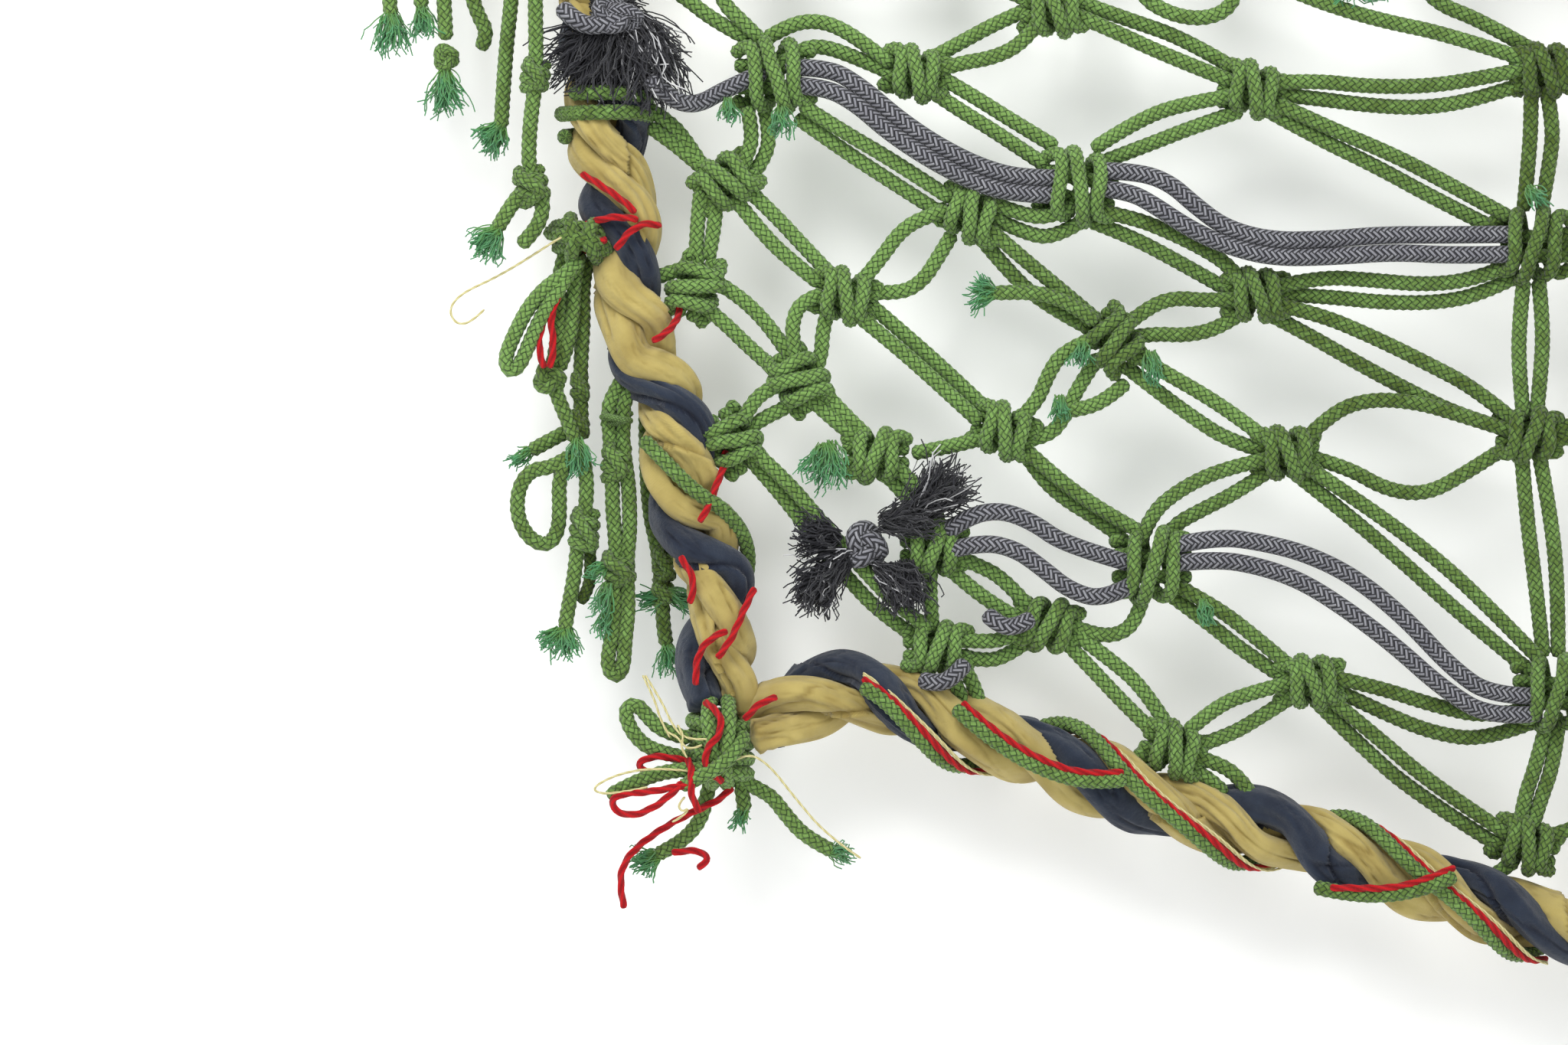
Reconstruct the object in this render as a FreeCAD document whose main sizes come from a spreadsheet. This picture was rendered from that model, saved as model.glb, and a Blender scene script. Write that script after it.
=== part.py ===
import FreeCAD, Part
import Sketcher
import math
import os

# Cargo climbing net: knotted cords in a border rope of three twisted cloth strands.
# Frame: millimetres, +Z up, +X right, +Y away from the climber. The net hangs in the
# plane y = 0 and the origin is on the centreline of the top border rope.

doc = FreeCAD.newDocument("cargo_net")

# ---------------------------------------------------------------- driving sizes
SIZES = [
    ("net_width", 950),        # outer left rope to right rope, along the centrelines
    ("net_height", 945),       # top rope to the lowest corner
    ("cord_diameter", 12),     # green braided cord
    ("grey_diameter", 13),     # grey herringbone cord
    ("red_diameter", 6),       # red wool cord
    ("twine_diameter", 2),     # pale waxed twine
    ("strand_diameter", 24),   # one cloth strand of the border rope
    ("strand_gap", 0.5),       # clearance between two strands of the rope
    ("knot_width", 46),        # square knot, along its core cords
    ("knot_height", 34),       # square knot, across its core cords
    ("knot_depth", 28),        # square knot, front to back
    ("big_knot_width", 54),    # knot that also holds the grey cords
    ("big_knot_height", 64),
    ("big_knot_depth", 36),
    ("side_lay", 130),         # length of one full twist of the left and right ropes
    ("top_lay", 105),          # length of one full twist of the top rope
    ("bottom_lay", 180),       # and of the bottom rope, which twists the other way
    ("lashing_lay", 242),      # length of one turn of the lashing round the bottom rope
    ("clear", 1.2),            # clearance between the rope and what is wound round it
]
sheet = doc.addObject("Spreadsheet::Sheet", "dims")
for row, (alias, value) in enumerate(SIZES, start=1):
    sheet.set("A%d" % row, str(value))
    sheet.setAlias("A%d" % row, alias)
doc.recompute()

DRAWN_WIDTH = 950.0    # the routes below are drawn for a net of this width,
DRAWN_HEIGHT = 945.0   # this height,
DRAWN_ROPE = 28.9      # this border rope's radius
DRAWN_CORD = 6.0       # and this cord's radius

across = sheet.get("net_width") / DRAWN_WIDTH
down = sheet.get("net_height") / DRAWN_HEIGHT
cord_radius = sheet.get("cord_diameter") / 2
strand_radius = sheet.get("strand_diameter") / 2


def strand_ring(lay):
    """How far a strand lies from the rope's centreline, so that three just touch."""
    wanted = 2 * strand_radius + sheet.get("strand_gap")
    ring = wanted / math.sqrt(3)
    while True:
        nearest = wanted
        for degrees in range(20, 121, 2):
            apart = 2 * ring ** 2 * (1 - math.cos(math.radians(degrees)))
            nearest = min(nearest, math.sqrt(apart + (lay * (120 - degrees) / 360) ** 2))
        if nearest >= wanted:
            return ring
        ring += 0.1


tightest_lay = min(sheet.get("side_lay"), sheet.get("top_lay"), sheet.get("bottom_lay"))
rope_radius = strand_ring(tightest_lay) + strand_radius
clear = sheet.get("clear")
# one step sideways for what hangs beside the rope, when rope or cords get thicker
step = (rope_radius - DRAWN_ROPE) + 2 * (cord_radius - DRAWN_CORD)
# what hangs in front of the rope or behind it stays this far from the net's plane
front = -(rope_radius + cord_radius + 3)

parts = []      # the objects that are written, one file each
radii_seen = []
lengths = []    # each tube with its path's length, for the volume test


def spot(point, aside=0.0):
    """A drawn (x, y, z) point at the net's real size."""
    return FreeCAD.Vector(point[0] * across - aside * step, point[1], point[2] * down)


def rounded_path(points):
    """Straight runs joined by tangent arcs, each as large as its two runs allow."""
    edges = []
    last = points[0]
    for before, corner, after in zip(points, points[1:], points[2:]):
        back = before - corner
        ahead = after - corner
        cut = 0.45 * min(back.Length, ahead.Length)
        back.normalize()
        ahead.normalize()
        turn = math.pi - back.getAngle(ahead)
        radius = cut / math.tan(turn / 2)
        inward = back + ahead
        inward.normalize()
        start = corner + back * cut
        end = corner + ahead * cut
        middle = corner + inward * (radius / math.cos(turn / 2) - radius)
        edges.append(Part.LineSegment(last, start).toShape())
        edges.append(Part.Arc(start, middle, end).toShape())
        radii_seen.append(radius)
        last = end
    edges.append(Part.LineSegment(last, points[-1]).toShape())
    return Part.Wire(edges)


def tube(name, points, size):
    """A round cord along its route; size is the sheet's name for its diameter."""
    wire = rounded_path(points)
    route = doc.addObject("Part::Feature", name + "_route")
    route.Shape = wire
    section = doc.addObject("Part::Circle", name + "_section")
    section.setExpression("Radius", "dims.%s / 2" % size)
    facing = FreeCAD.Rotation(FreeCAD.Vector(0, 0, 1), points[1] - points[0])
    section.Placement = FreeCAD.Placement(points[0], facing)
    sweep = doc.addObject("Part::Sweep", name + "_sweep")
    sweep.Sections = [section]
    sweep.Spine = (route, ["Edge%d" % (i + 1) for i in range(len(wire.Edges))])
    sweep.Solid = True
    sweep.Frenet = False
    sweep.Transition = "Transformed"
    lengths.append((sweep, wire.Length, size))
    return sweep


def node(label, members):
    """One named piece, or a group of like pieces, that gets a file of its own."""
    group = doc.addObject("Part::Compound", label)
    group.Links = members
    group.Label = label
    parts.append(group)
    return group


def tubes(name, routes, size="cord_diameter", aside=0.0):
    """Cords, each given as a list of drawn (x, y, z) points."""
    made = []
    for number, route in enumerate(routes, start=1):
        points = [spot(point, aside) for point in route]
        made.append(tube("%s_%d" % (name, number), points, size))
    return made


def cords(label, routes, size="cord_diameter", aside=0.0):
    """A node that is a group of like cords."""
    return node(label, tubes(label, routes, size, aside))


def flat(depth, *points):
    """A route that stays at one depth, from its (x, z) points."""
    return [(x, depth, z) for x, z in points]


# ---------------------------------------------------------------- border rope
# Each side of the border is three cloth strands, two tan and one navy, twisted together.
TOP_LINE = [(-650, 3), (-560, -2), (-450, 2), (-300, -4), (-150, -2), (0, 0), (150, -3), (300, -2), (452, 2)]
LEFT_LINE = [(-500, -38), (-492, -70), (-483, -110), (-477, -145), (-468, -200), (-466, -250),
             (-452, -300), (-444, -345), (-447, -385), (-438, -425), (-412, -465), (-404, -510),
             (-405, -550), (-385, -590), (-372, -630), (-368, -675), (-374, -710)]
BOTTOM_LINE = [(-343, -737), (-322, -720), (-295, -704), (-250, -702), (-205, -722), (-150, -742),
               (-100, -760), (-50, -782), (0, -800), (60, -814), (110, -830), (160, -848),
               (240, -873), (320, -900), (390, -924), (428, -938)]
RIGHT_LINE = [(457, -38), (463, -120), (460, -250), (454, -400), (456, -550), (463, -700),
              (464, -820), (460, -905)]


def centreline(line):
    """A smooth curve through a side's (x, z) points."""
    curve = Part.BSplineCurve()
    curve.interpolate([spot((x, 0, z)) for x, z in line])
    return curve


def wound(curve, ring, lay, start_angle, first, last, per_turn=6, dwell=0.0):
    """Points of a strand wound round a rope's centreline between two distances. A negative
    lay winds it the other way; dwell makes it cross the front slower than the back."""
    count = max(3, int(round((last - first) / abs(lay) * per_turn)))
    points = []
    for i in range(count + 1):
        along = first + (last - first) * i / count
        where = curve.parameterAtDistance(along, curve.FirstParameter)
        forward = FreeCAD.Vector(*curve.tangent(where)[0])
        side = forward.cross(FreeCAD.Vector(0, 1, 0))
        side.normalize()
        angle = math.radians(start_angle) + 2 * math.pi * along / lay
        angle -= dwell * math.cos(angle)
        offset = side * (ring * math.cos(angle))
        offset += FreeCAD.Vector(0, ring * math.sin(angle), 0)
        points.append(curve.value(where) + offset)
    return points


ROPE_SIDES = [
    ("top", TOP_LINE, sheet.get("top_lay"), 40),
    ("left", LEFT_LINE, sheet.get("side_lay"), 132),
    ("bottom", BOTTOM_LINE, -sheet.get("bottom_lay"), 150),
    ("right", RIGHT_LINE, sheet.get("side_lay"), 70),
]
STRANDS = [("navy_strand", 0), ("tan_strand_front", 120), ("tan_strand_back", 240)]
curves = {}
for side_name, line, lay, navy_angle in ROPE_SIDES:
    curve = centreline(line)
    curves[side_name] = curve
    for strand_name, turned in STRANDS:
        label = "%s_%s" % (side_name, strand_name)
        points = wound(curve, strand_ring(lay), lay, navy_angle + turned, 0, curve.length())
        node(label, [tube(label, points, "strand_diameter")])


# ---------------------------------------------------------------- square knots
def knot_master(name, prefix):
    """A rounded block of the size of one tied knot, centred on its own origin."""
    body = doc.addObject("PartDesign::Body", name)
    sketch = body.newObject("Sketcher::SketchObject", name + "_outline")
    plane = [f for f in body.Origin.OriginFeatures if f.Role == "XZ_Plane"][0]
    sketch.AttachmentSupport = [(plane, "")]
    sketch.MapMode = "FlatFace"
    wide = sheet.get(prefix + "_width")
    high = sheet.get(prefix + "_height")
    corners = [(-wide / 2, -high / 2), (wide / 2, -high / 2), (wide / 2, high / 2), (-wide / 2, high / 2)]
    for (x1, y1), (x2, y2) in zip(corners, corners[1:] + corners[:1]):
        sketch.addGeometry(Part.LineSegment(FreeCAD.Vector(x1, y1, 0), FreeCAD.Vector(x2, y2, 0)))
    for i in range(4):
        sketch.addConstraint(Sketcher.Constraint("Coincident", i, 2, (i + 1) % 4, 1))
    for i, kind in enumerate(("Horizontal", "Vertical", "Horizontal", "Vertical")):
        sketch.addConstraint(Sketcher.Constraint(kind, i))
    sketch.addConstraint(Sketcher.Constraint("Symmetric", 0, 1, 1, 2, -1, 1))
    width_at = sketch.addConstraint(Sketcher.Constraint("DistanceX", 0, 1, 0, 2, wide))
    height_at = sketch.addConstraint(Sketcher.Constraint("DistanceY", 1, 1, 1, 2, high))
    sketch.setExpression("Constraints[%d]" % width_at, "dims.%s_width" % prefix)
    sketch.setExpression("Constraints[%d]" % height_at, "dims.%s_height" % prefix)
    pad = body.newObject("PartDesign::Pad", name + "_block")
    pad.Profile = sketch
    pad.Midplane = True
    pad.setExpression("Length", "dims.%s_depth" % prefix)
    doc.recompute()
    fillet = body.newObject("PartDesign::Fillet", name + "_rounding")
    fillet.Base = (pad, ["Edge%d" % (i + 1) for i in range(len(pad.Shape.Edges))])
    fillet.setExpression("Radius", "dims.%s_depth * 0.38" % prefix)
    doc.recompute()
    return body


small_knot = knot_master("small_knot", "knot")
big_knot = knot_master("big_knot", "big_knot")


def knots(label, places):
    """Copies of a knot; each place is (master, x, z, lean in degrees)."""
    made = []
    for number, (master, x, z, lean) in enumerate(places, start=1):
        copy = doc.addObject("App::Link", "%s_%d" % (label, number))
        copy.LinkedObject = master
        turned = FreeCAD.Rotation(FreeCAD.Vector(0, 1, 0), lean)
        copy.Placement = FreeCAD.Placement(spot((x, 0, z)), turned)
        made.append(copy)
    return node(label, made)


# Each line of knots is lettered from the left; the lean follows the cords it gathers.
knots("knots_top", [
    (small_knot, -350, -88, 0), (small_knot, -215, -80, 0), (small_knot, -100, -148, 0),
    (small_knot, 5, -85, 0), (small_knot, 200, -80, 0),
])
knots("knots_a", [
    (big_knot, -328, -202, 0), (small_knot, -367, -288, -30), (small_knot, -392, -375, -70),
])
knots("knots_b", [
    (small_knot, -212, -200, 10), (small_knot, -168, -315, 25), (small_knot, -270, -382, 15),
    (small_knot, -308, -450, 60), (small_knot, -362, -500, 60),
])
knots("knots_c", [
    (big_knot, -80, -293, 10), (small_knot, -50, -418, 60), (small_knot, -140, -492, 20),
    (small_knot, -245, -512, 0), (small_knot, -198, -588, 0),
])
knots("knots_d", [
    (small_knot, 62, -213, 15), (small_knot, 65, -381, 0), (small_knot, 90, -510, 0),
    (big_knot, -20, -602, 0), (small_knot, -105, -650, 10), (small_knot, -195, -670, 0),
])
knots("knots_e_f", [
    (small_knot, 110, -697, 0), (small_knot, -2, -752, 20), (small_knot, 300, -198, 0),
    (big_knot, 290, -340, 0), (small_knot, 288, -495, 0), (big_knot, 308, -705, 0),
    (small_knot, 285, -830, 20),
])

# ---------------------------------------------------------------- net cords, in pairs
cords("cords_top", [
    flat(0, (-372, -26), (-366, -50), (-357, -78)),
    flat(0, (-334, -26), (-338, -50), (-346, -78)),
    flat(0, (-238, -26), (-230, -48), (-221, -70)),
    flat(0, (-192, -26), (-201, -47), (-208, -70)),
    flat(0, (-122, -26), (-114, -75), (-107, -138)),
    flat(0, (-76, -26), (-84, -75), (-93, -138)),
    flat(0, (-18, -26), (-12, -50), (0, -74)),
    flat(0, (28, -26), (22, -50), (11, -74)),
    flat(0, (178, -26), (185, -48), (194, -70)),
    flat(0, (222, -26), (216, -48), (207, -70)),
    flat(0, (-332, -90), (-300, -100), (-265, -98), (-232, -86)),
    flat(0, (-205, -92), (-175, -112), (-145, -130), (-118, -141)),
    flat(0, (218, -84), (270, -77), (330, -72), (385, -68), (432, -66)),
    flat(-9, (-10, -95), (-28, -115), (-30, -138), (-5, -153), (22, -157), (44, -148), (50, -125), (22, -98)),
    flat(4, (-452, -108), (-425, -122), (-400, -138), (-378, -156), (-348, -172)),
    flat(-4, (-362, -100), (-373, -120), (-371, -142), (-352, -160), (-338, -174)),
])
cords("cords_a", [
    flat(-3, (-335, -172), (-318, -162), (-300, -157), (-280, -160), (-255, -175), (-232, -193)),
    flat(4, (-336, -205), (-322, -192), (-305, -179), (-288, -177), (-262, -186), (-228, -201)),
    flat(-4, (-350, -228), (-345, -250), (-350, -268), (-357, -282)),
    flat(4, (-336, -228), (-331, -250), (-336, -270), (-348, -286)),
    flat(-5, (-306, -226), (-270, -249), (-230, -272), (-183, -303)),
    flat(5, (-310, -235), (-272, -262), (-232, -288), (-188, -316)),
    flat(0, (-432, -228), (-415, -238), (-400, -254), (-385, -278)),
    flat(0, (-430, -243), (-410, -257), (-395, -270), (-378, -284)),
    flat(0, (-362, -300), (-338, -330), (-318, -350), (-290, -372)),
    flat(0, (-350, -294), (-325, -318), (-305, -340), (-280, -366)),
    flat(0, (-388, -296), (-391, -322), (-392, -352)),
    flat(0, (-375, -300), (-376, -325), (-382, -352)),
    flat(0, (-382, -366), (-360, -379), (-339, -398), (-322, -420), (-312, -436)),
    flat(0, (-390, -386), (-370, -402), (-348, -424), (-325, -444)),
    flat(0, (-404, -360), (-420, -364), (-436, -372)),
])
cords("cords_b", [
    flat(0, (-203, -212), (-178, -229), (-145, -249), (-105, -276)),
    flat(0, (-192, -203), (-166, -218), (-133, -239), (-98, -260)),
    flat(-5, (-258, -372), (-240, -350), (-226, -330), (-208, -318), (-186, -312)),
    flat(5, (-252, -378), (-226, -380), (-207, -370), (-194, -350), (-182, -330)),
    flat(-4, (-288, -380), (-306, -386), (-313, -402), (-313, -418), (-309, -438)),
    flat(4, (-284, -392), (-289, -412), (-289, -430), (-296, -448)),
    flat(-5, (-262, -396), (-232, -420), (-198, -450), (-160, -485)),
    flat(5, (-250, -388), (-222, -412), (-188, -442), (-150, -478)),
    flat(-4, (-150, -306), (-125, -316), (-102, -318), (-84, -308)),
    flat(4, (-148, -318), (-122, -331), (-98, -334), (-76, -320)),
    flat(-5, (-154, -326), (-128, -349), (-100, -372), (-62, -404)),
    flat(5, (-164, -328), (-138, -360), (-108, -388), (-70, -408)),
    flat(-4, (-318, -452), (-334, -458), (-347, -470), (-356, -488)),
    flat(4, (-308, -464), (-320, -474), (-335, -480), (-352, -492)),
    flat(0, (-300, -464), (-281, -482), (-256, -502)),
    flat(0, (-294, -452), (-276, -474), (-250, -498)),
    flat(6, (-352, -510), (-325, -540), (-298, -575), (-270, -610), (-240, -642), (-208, -663)),
    flat(-6, (-345, -508), (-318, -532), (-288, -568), (-258, -602), (-230, -632), (-200, -655)),
    flat(0, (-372, -508), (-385, -514), (-396, -524)),
])
cords("cords_c", [
    flat(-5, (-66, -312), (-35, -318), (-5, -330), (25, -345), (44, -358), (56, -374)),
    flat(5, (-70, -320), (-38, -332), (0, -352), (46, -378)),
    flat(0, (-152, -496), (-178, -504), (-215, -510)),
    flat(0, (-240, -524), (-220, -545), (-206, -562), (-200, -582)),
    flat(-6, (-230, -520), (-208, -540), (-194, -560), (-192, -578)),
    flat(-5, (-132, -486), (-114, -470), (-105, -446), (-92, -426), (-66, -416)),
    flat(5, (-126, -500), (-104, -497), (-90, -480), (-80, -456), (-62, -430)),
    flat(0, (-40, -452), (-56, -466), (-75, -474), (-92, -476)),
    flat(8, (-128, -502), (-112, -528), (-90, -548), (-66, -562), (-42, -580)),
    flat(-4, (-122, -508), (-100, -528), (-78, -545), (-55, -560), (-30, -574)),
    flat(-14, (-66, -404), (-84, -390), (-106, -381), (-128, -379), (-150, -380)),
    flat(0, (-188, -590), (-165, -600), (-140, -612), (-118, -638)),
    flat(0, (-190, -600), (-170, -618), (-145, -636), (-120, -650)),
    flat(0, (-200, -600), (-202, -628), (-198, -656)),
    flat(-4, (-88, -150), (-50, -166), (-8, -186), (46, -207)),
    flat(4, (-82, -140), (-40, -155), (10, -172), (54, -199)),
    flat(-4, (-112, -158), (-125, -176), (-150, -188), (-178, -192), (-202, -200)),
    flat(4, (-118, -146), (-146, -158), (-175, -174), (-205, -190)),
])
cords("cords_d", [
    flat(-4, (50, -218), (10, -224), (-30, -237), (-68, -262)),
    flat(4, (54, -230), (15, -243), (-20, -257), (-60, -272)),
    flat(-4, (76, -208), (112, -206), (155, -211), (205, -211), (250, -204), (288, -196)),
    flat(4, (78, -216), (115, -220), (160, -226), (205, -228), (250, -220), (290, -206)),
    flat(-4, (80, -224), (125, -245), (180, -268), (225, -292), (272, -318)),
    flat(4, (72, -228), (115, -252), (165, -276), (212, -302), (268, -330)),
    flat(-4, (52, -384), (25, -386), (0, -383), (-22, -390), (-44, -408)),
    flat(4, (56, -394), (36, -408), (8, -414), (-18, -412), (-42, -416)),
    flat(-4, (82, -374), (118, -366), (160, -369), (205, -373), (245, -368), (274, -356)),
    flat(4, (84, -380), (125, -382), (170, -387), (215, -387), (250, -380), (278, -366)),
    flat(-4, (78, -388), (115, -396), (160, -415), (205, -437), (245, -458), (276, -484)),
    flat(4, (72, -394), (105, -411), (150, -437), (195, -461), (235, -480), (276, -492)),
    flat(-4, (-36, -428), (-10, -444), (22, -462), (52, -482), (78, -502)),
    flat(4, (-42, -438), (-14, -460), (16, -482), (44, -500), (78, -510)),
    flat(-4, (102, -502), (125, -478), (155, -466), (195, -468), (235, -480), (276, -493)),
    flat(4, (106, -512), (140, -521), (172, -540), (205, -544), (238, -526), (278, -500)),
    flat(-4, (78, -514), (40, -522), (5, -538), (-22, -560), (-30, -585)),
    flat(4, (80, -522), (50, -542), (22, -556), (-4, -570), (-14, -588)),
    flat(-4, (102, -518), (150, -550), (200, -586), (248, -628), (298, -680)),
    flat(4, (92, -522), (138, -558), (185, -598), (232, -641), (292, -690)),
    flat(-4, (0, -618), (30, -634), (60, -656), (100, -690)),
    flat(4, (-4, -626), (26, -648), (58, -674), (96, -698)),
    flat(0, (-26, -624), (-32, -648), (-50, -660), (-74, -656), (-92, -648)),
    flat(0, (-94, -660), (-68, -687), (-41, -716), (-14, -742)),
    flat(0, (-84, -656), (-54, -678), (-26, -702), (-6, -734)),
    flat(-5, (-118, -650), (-138, -662), (-160, -664), (-184, -662)),
    flat(5, (-116, -660), (-138, -677), (-160, -680), (-184, -674)),
    flat(0, (-188, -684), (-178, -700), (-172, -718)),
    flat(0, (-176, -680), (-164, -698), (-158, -722)),
])
cords("cords_e_f", [
    flat(-4, (98, -696), (65, -704), (32, -716), (8, -738)),
    flat(4, (100, -706), (72, -724), (42, -742), (8, -752)),
    flat(-4, (124, -692), (165, -701), (210, -716), (255, -726), (292, -718)),
    flat(4, (124, -700), (165, -720), (210, -739), (255, -745), (296, -728)),
    flat(-4, (120, -706), (162, -740), (208, -780), (272, -822)),
    flat(4, (112, -710), (150, -748), (198, -790), (266, -832)),
    flat(-4, (22, -94), (50, -112), (85, -129), (125, -145), (170, -158), (220, -168), (288, -190)),
    flat(4, (194, -92), (196, -120), (214, -143), (250, -156), (298, -184)),
    flat(0, (302, -210), (308, -240), (306, -270), (298, -312)),
    flat(0, (290, -210), (290, -240), (288, -270), (284, -312)),
    flat(0, (296, -368), (300, -405), (298, -445), (294, -482)),
    flat(0, (284, -368), (280, -405), (280, -445), (284, -482)),
    flat(0, (296, -508), (306, -560), (312, -620), (312, -676)),
    flat(0, (282, -508), (286, -560), (294, -620), (300, -676)),
    flat(0, (312, -733), (308, -765), (298, -792), (290, -818)),
    flat(0, (302, -733), (294, -765), (284, -792), (280, -818)),
    flat(0, (316, -196), (350, -190), (390, -182), (430, -168)),
    flat(0, (310, -335), (350, -325), (390, -310), (432, -288)),
    flat(0, (312, -345), (352, -338), (392, -325), (430, -305)),
    flat(0, (304, -492), (345, -482), (385, -466), (425, -445)),
    flat(0, (304, -500), (345, -495), (388, -480), (425, -460)),
    flat(0, (330, -700), (362, -690), (398, -672), (432, -650)),
    flat(0, (330, -712), (362, -704), (398, -688), (434, -666)),
    flat(0, (300, -824), (340, -812), (385, -792), (434, -768)),
    flat(0, (6, -764), (24, -772), (40, -788)),
    flat(0, (10, -756), (32, -762), (52, -774), (62, -790)),
    flat(0, (278, -842), (266, -850), (256, -858)),
    flat(0, (-30, -766), (-22, -772), (-18, -784)),
])

# ---------------------------------------------------------------- grey cords
cords("grey_cord_upper", [
    [(-430, -42, -208), (-410, -34, -226), (-390, -20, -228), (-368, -12, -214), (-336, -12, -200)],
    [(-318, -8, -196), (-285, -16, -196), (-258, -20, -212), (-228, -20, -238), (-196, -20, -260),
     (-160, -18, -278), (-125, -14, -287), (-92, -10, -286)],
    [(-318, -8, -210), (-288, -16, -212), (-262, -20, -226), (-235, -20, -250), (-200, -20, -273),
     (-165, -18, -291), (-130, -14, -300), (-94, -10, -300)],
    [(-66, -10, -280), (-35, -16, -281), (-8, -22, -290), (14, -24, -310), (38, -24, -328), (75, -24, -338),
     (120, -22, -337), (165, -20, -333), (215, -18, -333), (276, -10, -332)],
    [(-66, -10, -294), (-40, -16, -297), (-18, -22, -310), (5, -24, -326), (35, -24, -341), (75, -24, -352),
     (125, -22, -351), (175, -20, -347), (225, -18, -350), (278, -10, -348)],
], "grey_diameter")
cords("grey_cord_lower", [
    [(-188, -12, -575), (-172, -20, -562), (-145, -22, -556), (-118, -22, -566), (-92, -22, -585), (-38, -10, -600)],
    [(-188, -12, -590), (-160, -20, -582), (-132, -22, -588), (-110, -22, -604), (-88, -22, -622), (-60, -20, -630),
     (-34, -10, -616)],
    [(-6, -10, -586), (30, -20, -578), (65, -22, -582), (105, -22, -592), (145, -22, -612), (185, -22, -645),
     (222, -22, -685), (255, -18, -708), (296, -10, -708)],
    [(-4, -10, -600), (30, -20, -596), (66, -22, -602), (100, -22, -614), (135, -22, -636), (175, -22, -666),
     (215, -22, -702), (255, -18, -726), (296, -10, -722)],
    [(-210, -22, -694), (-196, -24, -698), (-182, -24, -692), (-172, -20, -680)],
    [(-118, -20, -644), (-132, -22, -652), (-146, -24, -650), (-156, -20, -640)],
], "grey_diameter")


def blobs(label, places, aside=0.0):
    """Rounded lumps: each place is (x, y, z), then the full width, depth and height."""
    made = []
    for number, (where, size) in enumerate(places, start=1):
        lump = doc.addObject("Part::Ellipsoid", "%s_%d" % (label, number))
        lump.Radius2 = size[0] / 2
        lump.Radius3 = size[1] / 2
        lump.Radius1 = size[2] / 2
        lump.Placement = FreeCAD.Placement(spot(where, aside), FreeCAD.Rotation())
        made.append(lump)
    return node(label, made)


blobs("grey_stopper_knots", [
    ((-255, -8, -585), (44, 36, 42)), ((-452, -44, -158), (60, 26, 40)),
])
blobs("black_frays", [
    ((-290, -12, -602), (44, 26, 66)), ((-222, -16, -560), (50, 20, 24)), ((-224, -14, -624), (26, 16, 26)),
    ((-456, -44, -200), (52, 26, 48)),
])
blobs("green_frays", [
    ((-322, -24, -240), (20, 12, 18)), ((-366, -20, -230), (16, 12, 16)), ((-282, -16, -520), (26, 14, 36)),
    ((-158, -14, -382), (20, 14, 24)), ((-22, -20, -440), (22, 14, 26)), ((-78, -16, -430), (18, 12, 20)),
    ((150, -10, -128), (56, 14, 20)), ((286, -20, -300), (24, 14, 18)), ((-96, -14, -474), (22, 12, 18)),
    ((22, -14, -640), (18, 12, 18)),
])


# ---------------------------------------------------------------- lashings on the border
def round_the_rope(side_name, size, lay, start_angle, first, last):
    """A wrap's points: it winds round one side's rope, just clear of it."""
    ring = rope_radius + clear + sheet.get(size) / 2
    return wound(curves[side_name], ring, lay, start_angle, first, last)


def bottom_lashing(size, behind):
    """The lashing along the bottom rope; behind is how many degrees it follows the green."""
    ring = rope_radius + clear + sheet.get(size) / 2
    lay = -sheet.get("lashing_lay")
    return wound(curves["bottom"], ring, lay, 69 + behind, 95, 700, per_turn=16, dwell=0.55)


RED_BEHIND = 20.0
TWINE_BEHIND = 36.0
node("green_lashing", [
    tube("green_lashing_bottom", bottom_lashing("cord_diameter", 0), "cord_diameter"),
    tube("green_lashing_left", round_the_rope("left", "cord_diameter", 260, -70, 470, 620), "cord_diameter"),
])
corner_red_loops = tubes("corner_red_loop", [
    flat(-30, (-398, -760), (-418, -755), (-434, -758), (-438, -764), (-432, -769), (-416, -769), (-398, -767)),
    flat(-46, (-388, -776), (-408, -780), (-430, -784), (-450, -785), (-459, -790), (-457, -799), (-440, -804), (-414, -790),
         (-402, -776)),
], "red_diameter")
node("red_lashing", corner_red_loops + [
    tube("red_lashing_bottom", bottom_lashing("red_diameter", RED_BEHIND), "red_diameter"),
    tube("red_wrap_1", round_the_rope("left", "red_diameter", 90, 165, 255, 285), "red_diameter"),
    tube("red_wrap_2", round_the_rope("left", "red_diameter", 90, 40, 295, 325), "red_diameter"),
    tube("red_wrap_3", round_the_rope("left", "red_diameter", 90, 90, 370, 400), "red_diameter"),
    tube("red_wrap_4", round_the_rope("left", "red_diameter", 200, 150, 632, 682), "red_diameter"),
])
node("twine_lashing", [
    tube("twine_lashing_bottom", bottom_lashing("twine_diameter", TWINE_BEHIND), "twine_diameter"),
])


def hitches(label, places):
    """Single turns of cord round the rope; each place is (side, distance along it)."""
    made = []
    for number, (side_name, along) in enumerate(places, start=1):
        curve = curves[side_name]
        where = curve.parameterAtDistance(along, curve.FirstParameter)
        ring = doc.addObject("Part::Torus", "%s_%d" % (label, number))
        ring.setExpression("Radius2", "dims.cord_diameter / 2")
        ring.Radius1 = rope_radius + clear + cord_radius
        forward = FreeCAD.Vector(*curve.tangent(where)[0])
        ring.Placement = FreeCAD.Placement(curve.value(where), FreeCAD.Rotation(FreeCAD.Vector(0, 0, 1), forward))
        made.append(ring)
    return node(label, made)


hitches("border_hitches", [
    ("left", 190), ("left", 204), ("top", 278), ("top", 316), ("top", 412), ("top", 458), ("top", 530),
    ("top", 574), ("top", 632), ("top", 678), ("top", 828), ("top", 872), ("right", 28), ("right", 130),
    ("right", 250), ("right", 410), ("right", 615), ("right", 730),
])

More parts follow.
